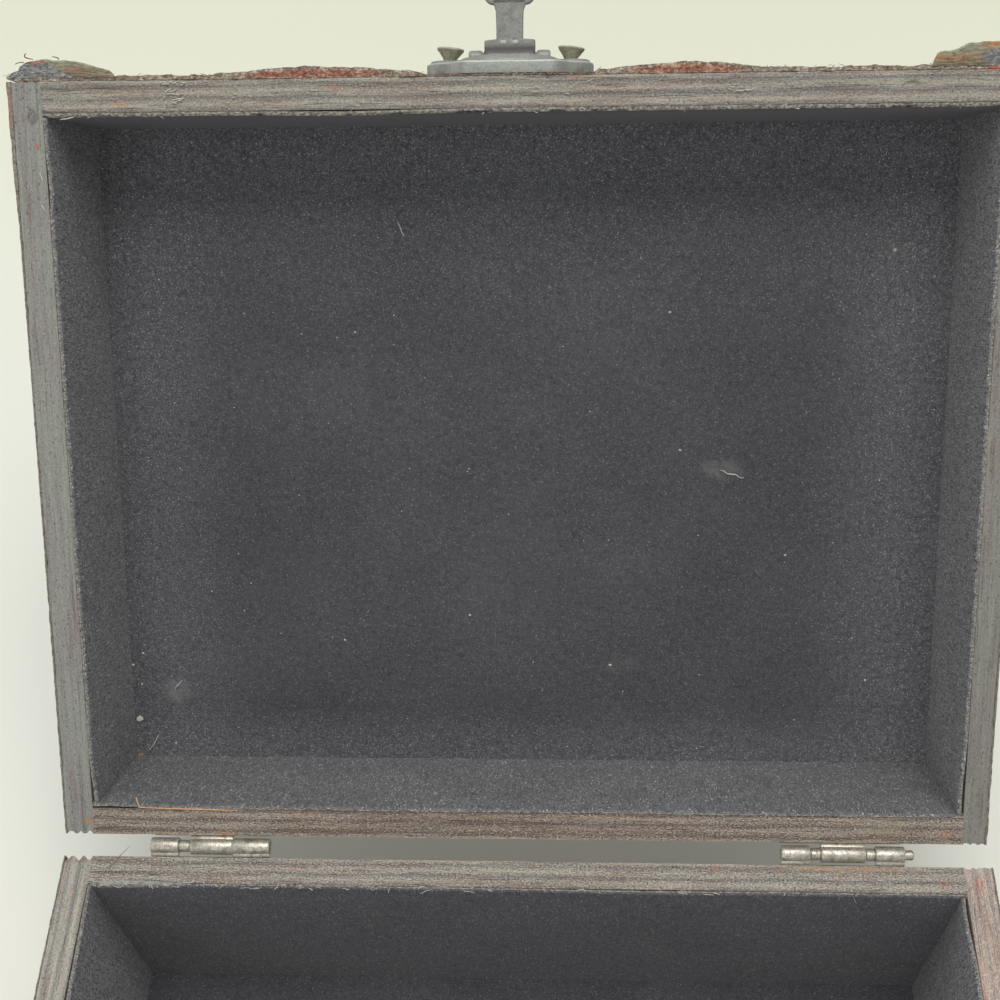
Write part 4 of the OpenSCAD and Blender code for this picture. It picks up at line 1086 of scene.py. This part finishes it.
def hasp_at(x, along, lift):
    """A point on the lifted hasp: across, along from the pin, and over the pin's axis."""
    x, along, lift = np.broadcast_arrays(x, along, lift)
    return np.stack([LATCH_X + x, FRONT_Y - PIN_OUT - along, RIM_Z + PIN_UP + lift], -1)


def hasp():
    """The hasp: a rolled shoulder and neck lofted along its length, and an eye whose section runs from
    the slot to the outline and is carried round it."""
    along = np.concatenate([[-0.35, -0.28, -0.05], spaced(0.3, 2.8, 0.35), [3.02, 3.12, 3.22, 3.3, 3.34, 3.42, 3.6],
                            spaced(4.0, 9.6, 0.5), [10.2, 10.8, 11.2]])
    half = np.interp(along, [3.0, 3.15, 3.26, 3.32, 3.36, 3.6, 8.6, 11.2], [5.0, 4.9, 4.65, 4.0, 2.75, 2.6, 2.7, 3.6])
    half = half - np.interp(along, [-0.35, -0.1, 0.1], [0.5, 0.15, 0])
    thick = np.interp(along, [-0.35, -0.1, 0.2], [0.5, 0.68, 0.75])
    # painted shade on the hasp's shoulder next to the pin, fading along it
    soot = np.interp(along, [0.2, 1.7, 2.3, 2.7], [0.8, 0.75, 0.25, 0.0])[:, None]
    rings = []
    for at, w, t in zip(along, half, thick):
        ring = box_ring(w, t, 0.25)
        crown = 0.16 * (1 - (ring[:, 0] / w) ** 2) * (ring[:, 1] > 0)
        rings.append(hasp_at(ring[:, 0], at + 0.012 * ring[:, 0], 1.35 + ring[:, 1] + crown))
    parts = [part(np.array(rings), wear=np.full((len(along), 1), 0.35), soot=soot)]
    turn = np.arange(28) / 28 * math.tau
    x = np.array([-5, -4.9, -4.65, -4.2, 0, 4.2, 4.65, 4.9, 5.0])
    r = np.array([1.1, 1.3, 1.45, 1.5, 1.5, 1.5, 1.45, 1.3, 1.1])
    barrel = hasp_at(x[:, None], r[:, None] * np.cos(turn), r[:, None] * np.sin(turn))
    # painted shade on the hasp's barrel between the lugs
    parts.append(part(barrel, wear=np.full((9, 1), 0.2), soot=np.full((9, 1), 0.7)))
    turn = (np.arange(96) + 0.5) / 96 * math.tau
    inner = exit_distance(lambda a, b: (np.abs(a) < 1.55) & (np.abs(b) < 3.03), turn)
    outer = exit_distance(lambda a, b: (np.abs(a) < 5) & (b > -5.03) & (np.hypot(a, np.maximum(b - 0.44, 0)) < 5)
                          & (np.abs(a) - b < 8.9), turn)
    outer = (outer + np.roll(outer, 1) + np.roll(outer, -1)) / 3
    rings = []
    for k, t in enumerate(turn):
        ring = box_ring((outer[k] - inner[k]) / 2, 0.75, 0.35)
        r = (outer[k] + inner[k]) / 2 + ring[:, 0]
        rings.append(hasp_at(r * math.cos(t), 14.83 + r * math.sin(t), 1.35 + ring[:, 1]))
    parts.append(part(np.array(rings), loop=True, wear=np.full((96, 1), 0.4)))
    for s in (-1, 1):
        a = np.arange(16) / 16 * math.tau
        share = np.array([1.0, 0.95, 0.75, 0.5, 0.25, 0.05])[:, None]
        mound = hasp_at(-0.1 + s * 1.15 + share * 0.75 * np.cos(a), 2.75 + share * 0.5 * np.sin(a),
                        0.65 - 0.22 * np.sqrt(1.001 - share ** 2) + 0 * a)
        parts.append(part(mound, wear=np.full((6, 1), 1.0)))
    piece("hasp_casting", parts, hasp_metal, "hasp", ("hasp",), 35)


def catch():
    """The catch on the base's front: a small cast plate with a raised border, its staple and two screws."""
    z = BASE_H - 8.0

    def outline(px, pz):
        return (np.abs(px) / 10) ** 4 + (np.abs(pz) / 5.5) ** 4 < 1

    def face(px, pz, inset):
        border = np.exp(-((inset - 1.2) / 0.4) ** 2)
        return 2.35 + 0.25 * border - 0.0 * px, 0.25 + 0.6 * border

    levels = [(0.1, 0.55), (0.0, 0.7), (0.0, 2.0), (0.1, 2.3), (0.35, 2.45)]
    piece("catch_casting", [cast_plate(LATCH_X, z, outline, levels, face, FRONT_Y)],
          latch_metal, "base", ("catch_plate",), 35)
    turn = (np.arange(72) + 0.5) / 72 * math.tau
    outer = exit_distance(lambda a, b: (np.abs(b) < 2.4) & (a > -5.7) & ((a < 0) | (np.hypot(a, b) < 2.4)), turn)
    rings = []
    for k, t in enumerate(turn):
        ring = box_ring((outer[k] - 1.2) / 2, 1.1, 0.45)
        r = (outer[k] + 1.2) / 2 + ring[:, 0]
        rings.append(np.column_stack([LATCH_X + ring[:, 1], FRONT_Y - 7.7 - r * math.cos(t), z + r * math.sin(t)]))
    piece("catch_loop", [part(np.array(rings), loop=True, wear=np.full((72, 1), 0.5))],
          latch_metal, "base", ("catch_staple",), 35)
    heads = [pan_head(LATCH_X + s * 7, z, FRONT_Y - 2.6, -1, lean=0.5 + s) for s in (-1, 1)]
    piece("catch_slotted_screws", heads, screw_metal, "base", ("catch_screws",), 35)


def strand(path, radius, m=4):
    """A loose fibre: small rings round a path, thinner at both ends."""
    path = np.asarray(path, float)
    way = np.gradient(path, axis=0)
    way = way / np.linalg.norm(way, axis=1)[:, None]
    side = np.cross(way, [0.31, 0.52, 0.79])
    side = side / np.linalg.norm(side, axis=1)[:, None]
    other = np.cross(way, side)
    turn = np.arange(m) / m * math.tau
    r = radius * (0.35 + 0.65 * np.sin(np.linspace(0.12, 0.88, len(path)) * math.pi))[:, None, None]
    return part(path[:, None] + r * (side[:, None] * np.cos(turn)[:, None] + other[:, None] * np.sin(turn)[:, None]))


def wander(start, end, bow, seed, n=9):
    """A path from start to end that bows and wavers by smooth noise."""
    t = np.linspace(0, 1, n)[:, None]
    start, end, bow = (np.asarray(v, float) for v in (start, end, bow))
    wave = np.stack([noise(np.column_stack([t * 3 + k * 9, t * 0, t * 0]), 1, seed + k, 2) for k in range(3)], -1)
    span = np.linalg.norm(end - start)
    return start + (end - start) * t + bow * np.sin(t * math.pi) + 0.12 * span * wave * np.sin(t * math.pi)


def crumb(place, size, seed):
    """A crumb of dust: a lumpy ball of five small rings."""
    v = np.linspace(0.15, math.pi - 0.15, 5)[:, None]
    u = np.arange(8) / 8 * math.tau
    ball = np.stack(np.broadcast_arrays(np.sin(v) * np.cos(u), np.sin(v) * np.sin(u), np.cos(v)), -1)
    lump = 1 + 0.45 * noise(ball, 0.8, seed, 2)[..., None]
    return part(np.asarray(place, float) + ball * lump * np.asarray(size, float))


def fluff():
    """Lint, crumbs, hairs and frayed fibres, each lying on the surface that it is seen on."""
    rng = np.random.default_rng(7)
    top = RIM_Z + LID_H - TOP_T - CARD - 0.25
    white, tan, red = [], [], []
    crumbs = [(140, 719, 0.9), (176, 743, 0.3), (200, 758, 0.3), (670, 312, 0.3), (680, 450, 0.35),
              (895, 250, 0.4), (610, 665, 0.35), (865, 680, 0.3), (470, 615, 0.3), (345, 640, 0.3), (785, 555, 0.3),
              (355, 332, 0.25), (143, 653, 0.35), (133, 665, 0.4), (128, 674, 0.35), (142, 684, 0.3)]
    for k, (px, py, size) in enumerate(crumbs):
        white.append(crumb(seen(px, py, "lid", 2, top), (size, size * 0.8, size * 0.45), k))
    tan.append(crumb(seen(141, 755, "lid", 2, top), (0.9, 0.6, 0.4), 16))
    for k in range(110):
        place = (rng.uniform(-90, 90), rng.uniform(-69, 69), top + 0.05)
        size = rng.uniform(0.06, 0.17)
        white.append(crumb(place, (size, size, size * 0.7), k))
    for k, (x0, y0, x1, y1) in enumerate(((150, 750, 158, 736), (720, 470, 744, 478), (398, 222, 404, 236),
                                          (175, 690, 182, 680))):
        white.append(strand(wander(seen(x0, y0, "lid", 2, top), seen(x1, y1, "lid", 2, top), (0, 0, -0.3), k), 0.13))
    rim = RIM_Z - 0.05
    lint = [(735, 91, 744, 90), (745, 89, 752, 90), (60, 120, 74, 117), (40, 172, 43, 181), (42, 205, 45, 211)]
    for x0, x1, y0, y1, count in ((157, 183, 82, 85, 9), (163, 180, 91, 94, 10), (164, 182, 98, 103, 8),
                                  (700, 760, 84, 92, 9), (470, 640, 80, 100, 8), (200, 330, 85, 104, 7)):
        for k in range(count):
            x, y = rng.uniform(x0, x1), rng.uniform(y0, y1)
            lint.append((x, y, x + rng.uniform(2, 6), y + rng.normal(0, 1.4)))
    for k, (x0, y0, x1, y1) in enumerate(lint):
        white.append(strand(wander(seen(x0, y0, "lid", 2, rim), seen(x1, y1, "lid", 2, rim), (0, 0, -0.2), 20 + k), 0.12 if k < 32 else 0.085))
    paths = [[(238, 810.5, 0), (212, 809.8, 0.05), (185, 809, 0.05), (160, 808.2, 0), (138, 807.5, 0)],
             [(141, 808, 0), (138.5, 805, 0), (137, 801, -0.2), (136, 797, -0.5)]]
    splinters = [strand([seen(x, y, "lid", 2, RIM_Z - z) for x, y, z in path], 0.15, 6) for path in paths]
    piece("lid_rear_splinter", splinters, splinter_wood, "lid")
    hairs = [((33, 59.5), (26, 53.5), (-1.0, 0, 0.4)), ((24, 63), (15, 64.5), (0, -0.3, 0.2)),
             ((58, 60), (52, 56.5), (0.5, 0, 0))]
    hairs = [strand(wander(seen(*a, "lid", 2, RIM_Z - 0.1), seen(*b, "lid", 2, RIM_Z - 0.1), bow, 40 + k), 0.12)
             for k, (a, b, bow) in enumerate(hairs)]
    piece("lid_corner_hairs", hairs, dark_fibre, "lid")
    for k in range(120):
        s = rng.uniform(0, ROOM_W)
        start = on_wall("front", "lid", s, -CARD * rng.uniform(0, 1), 0.5)
        end = start + (rng.normal(0, 0.7), rng.uniform(0.05, 0.6), -rng.uniform(0.0, 0.5))
        (white if k % 2 else tan).append(strand(wander(start, end, (0, 0, -0.2), 50 + k, 6), rng.uniform(0.04, 0.08)))
    for k in range(260):
        x = rng.uniform(-98, 98)
        start = np.array([x, FRONT_Y - rng.uniform(0, 0.9), RIM_Z + 0.1])
        end = start + (rng.normal(0, 0.6), -rng.uniform(0.1, 0.5), -rng.uniform(0, 0.4))
        puffed = -64 < x < -20 or 12 < x < 46
        (red if puffed and k % 2 else tan).append(strand(wander(start, end, (0, 0, 0), 150 + k, 5),
                                                         rng.uniform(0.04, 0.09)))
    for k in range(170):
        left = k % 2 == 0
        inland = rng.uniform(0.5, 18)
        x = inland - 100 if left else 100 - inland
        high = np.interp(inland, *np.array(LEFT_LUMP if left else RIGHT_LUMP).T) * rng.uniform(0.1, 0.95)
        start = np.array([x, FRONT_Y - 0.6 - high, RIM_Z + 0.1])
        end = start + (rng.normal(0, 0.7), -rng.uniform(-0.5, 0.5), -rng.uniform(0.1, 0.3))
        (white if left and inland < 10 else tan).append(strand(wander(start, end, (0, 0, 0), 300 + k, 5),
                                                             rng.uniform(0.04, 0.09)))
    piece("lid_white_lint", white, white_fibre, "lid")
    piece("lid_tan_fibres", tan, tan_fibre, "lid")
    piece("lid_red_fibres", red, red_fibre, "lid")
    low = BASE_H + 0.05
    hair = [seen(90 + 40 * t, 885 - 39 * t, "base", 2, low + 0.1)
            for t in np.linspace(0, 1, 12)]
    piece("base_corner_hair", [strand(hair, 0.13)], grey_fibre, "base")
    base = [strand(wander(seen(208, 871, "base", 2, low), seen(216, 869, "base", 2, low), (0, 0, 0.2), 4), 0.2)]
    pale = []
    for k in range(130):
        s = 150 * rng.uniform(0, 1) ** 1.6
        start = on_wall("rear", "base", s, -CARD * rng.uniform(0, 1), 0.3)
        end = start + (rng.normal(0, 1.0), rng.normal(-0.1, 0.5), rng.uniform(0, 0.5))
        pale.append(strand(wander(start, end, (0, 0, 0.15), 700 + k, 5), rng.uniform(0.05, 0.1)))
    piece("base_white_fray", pale, white_fibre, "base")
    for k in range(60):
        side = ("left", "rear", "right")[k % 3]
        s = rng.uniform(8, WALLS[side][3] - 8)
        start = on_wall(side, "base", s, -CARD * rng.uniform(0, 1), 0.4)
        end = start + (rng.normal(0, 0.8), rng.normal(0, 0.8), rng.uniform(0, 0.35))
        base.append(strand(wander(start, end, (0, 0, 0.1), 500 + k, 5), rng.uniform(0.04, 0.08)))
    piece("base_fibres", base, tan_fibre, "base")


def build():
    for seed, (tray, side) in enumerate((t, s) for t in ("base", "lid") for s in WALLS):
        finish = {"left": ply_left, "right": ply_right, "front": ply, "rear": ply_rear} if tray == "lid" else \
            {"left": ply_side, "right": ply_rosy, "front": ply, "rear": ply_hinge}
        wall_board(side, tray, finish[side], 11 + seed)
        wall_card(side, tray, 31 + seed)
        if side != "rear":
            wall_skin(side, tray, 51 + seed)
    for tray in ("base", "lid"):
        panel_card(tray, 70)
        for side in (-1, 1):
            corner_lump(side, tray, 80 + side)
        leaf_screws(tray, 1 if tray == "lid" else -1)
    for node in ("base_floor", "lid_top_panel"):
        frame["nodes"][node].data.materials.clear()
        frame["nodes"][node].data.materials.append(ply_panel)
    top_skin(90)
    hinge(-1, "left_hinge")
    hinge(1, "right_hinge")
    latch()
    hasp()
    catch()
    fluff()


build()


def stage_floor():
    """The pale table: a grid sheet at the box's underside, far larger than the view."""
    x = np.linspace(-2500, 2500, 26)
    X, Y = np.meshgrid(x, x, indexing="ij")
    verts = np.stack([X, Y, X * 0 - 0.02], -1).reshape(-1, 3) / 1000
    index = np.arange(26 * 26).reshape(26, 26)
    quads = np.stack([index[:-1, :-1], index[1:, :-1], index[1:, 1:], index[:-1, 1:]], -1).reshape(-1, 4)
    mesh = bpy.data.meshes.new("table")
    mesh.from_pydata(verts.tolist(), [], quads.tolist())
    f = Finish("pale_table", Specular_IOR_Level=0.2)
    place = f.add("TexCoord", outlet="Object")
    cloud = f.noise(place, 6.0, 3.0)
    grain = f.noise(place, 900.0, 2.0)
    far = (f.axis(place, 1) * 1000.0).above(250, 460)
    tone = f.mix(cloud.above(0.3, 0.7), srgb(237, 239, 229), srgb(240, 241, 232))
    tone = f.mix(far * 0.8, tone, srgb(232, 234, 211))
    f.feed(Base_Color=tone, Roughness=0.6, Normal=f.bump(grain, 0.05, 0.2))
    mesh.materials.append(f.material)
    table = bpy.data.objects.new("table", mesh)
    bpy.context.scene.collection.objects.link(table)


def lamp(name, place, target, size, watts, colour):
    """A square soft light that faces its target."""
    light = bpy.data.lights.new(name, "AREA")
    light.size = size
    light.energy = watts
    light.color = colour
    obj = bpy.data.objects.new(name, light)
    bpy.context.scene.collection.objects.link(obj)
    place, target = np.array(place, float), np.array(target, float)
    away = (place - target) / np.linalg.norm(place - target)
    side = np.cross((0.0, 1.0, 0.02), away)
    side = side / np.linalg.norm(side)
    up = np.cross(away, side)
    for col, axis in enumerate((side, up, away, place)):
        for row in range(3):
            obj.matrix_world[row][col] = axis[row]


def light_and_camera():
    """An overhead soft light, a low fill from the front, a pale world, and the fitted camera."""
    lamp("overhead", (0.1, 0.05, 1.6), (0, 0.05, 0.06), 0.9, 12.9, (1, 0.985, 0.95))
    lamp("front_fill", (-0.5, -1.6, 1.3), (0, 0, 0.05), 1.4, 4.2, (0.96, 0.98, 1))
    lamp("left_low", (-1.3, 0.45, 0.35), (0, 0.12, 0.0), 0.6, 2.2, (1, 1, 0.98))
    world = bpy.data.worlds.new("studio")
    bpy.context.scene.world = world
    world.use_nodes = True
    world.node_tree.nodes["Background"].inputs[0].default_value = (0.95, 0.96, 0.95, 1)
    world.node_tree.nodes["Background"].inputs[1].default_value = 0.53
    camera = bpy.data.cameras.new("camera")
    camera.sensor_width = 36
    camera.lens = FOCAL * 36 / 1000
    camera.shift_y = (CENTRE[1] - 500) / 1000
    camera.clip_start = 0.01
    obj = bpy.data.objects.new("camera", camera)
    bpy.context.scene.collection.objects.link(obj)
    for col, axis in enumerate((RIGHT, -DOWN, -LOOK, EYE / 1000)):
        for row in range(3):
            obj.matrix_world[row][col] = axis[row]
    bpy.context.scene.camera = obj
    bpy.context.scene.view_settings.view_transform = "Standard"


stage_floor()
light_and_camera()
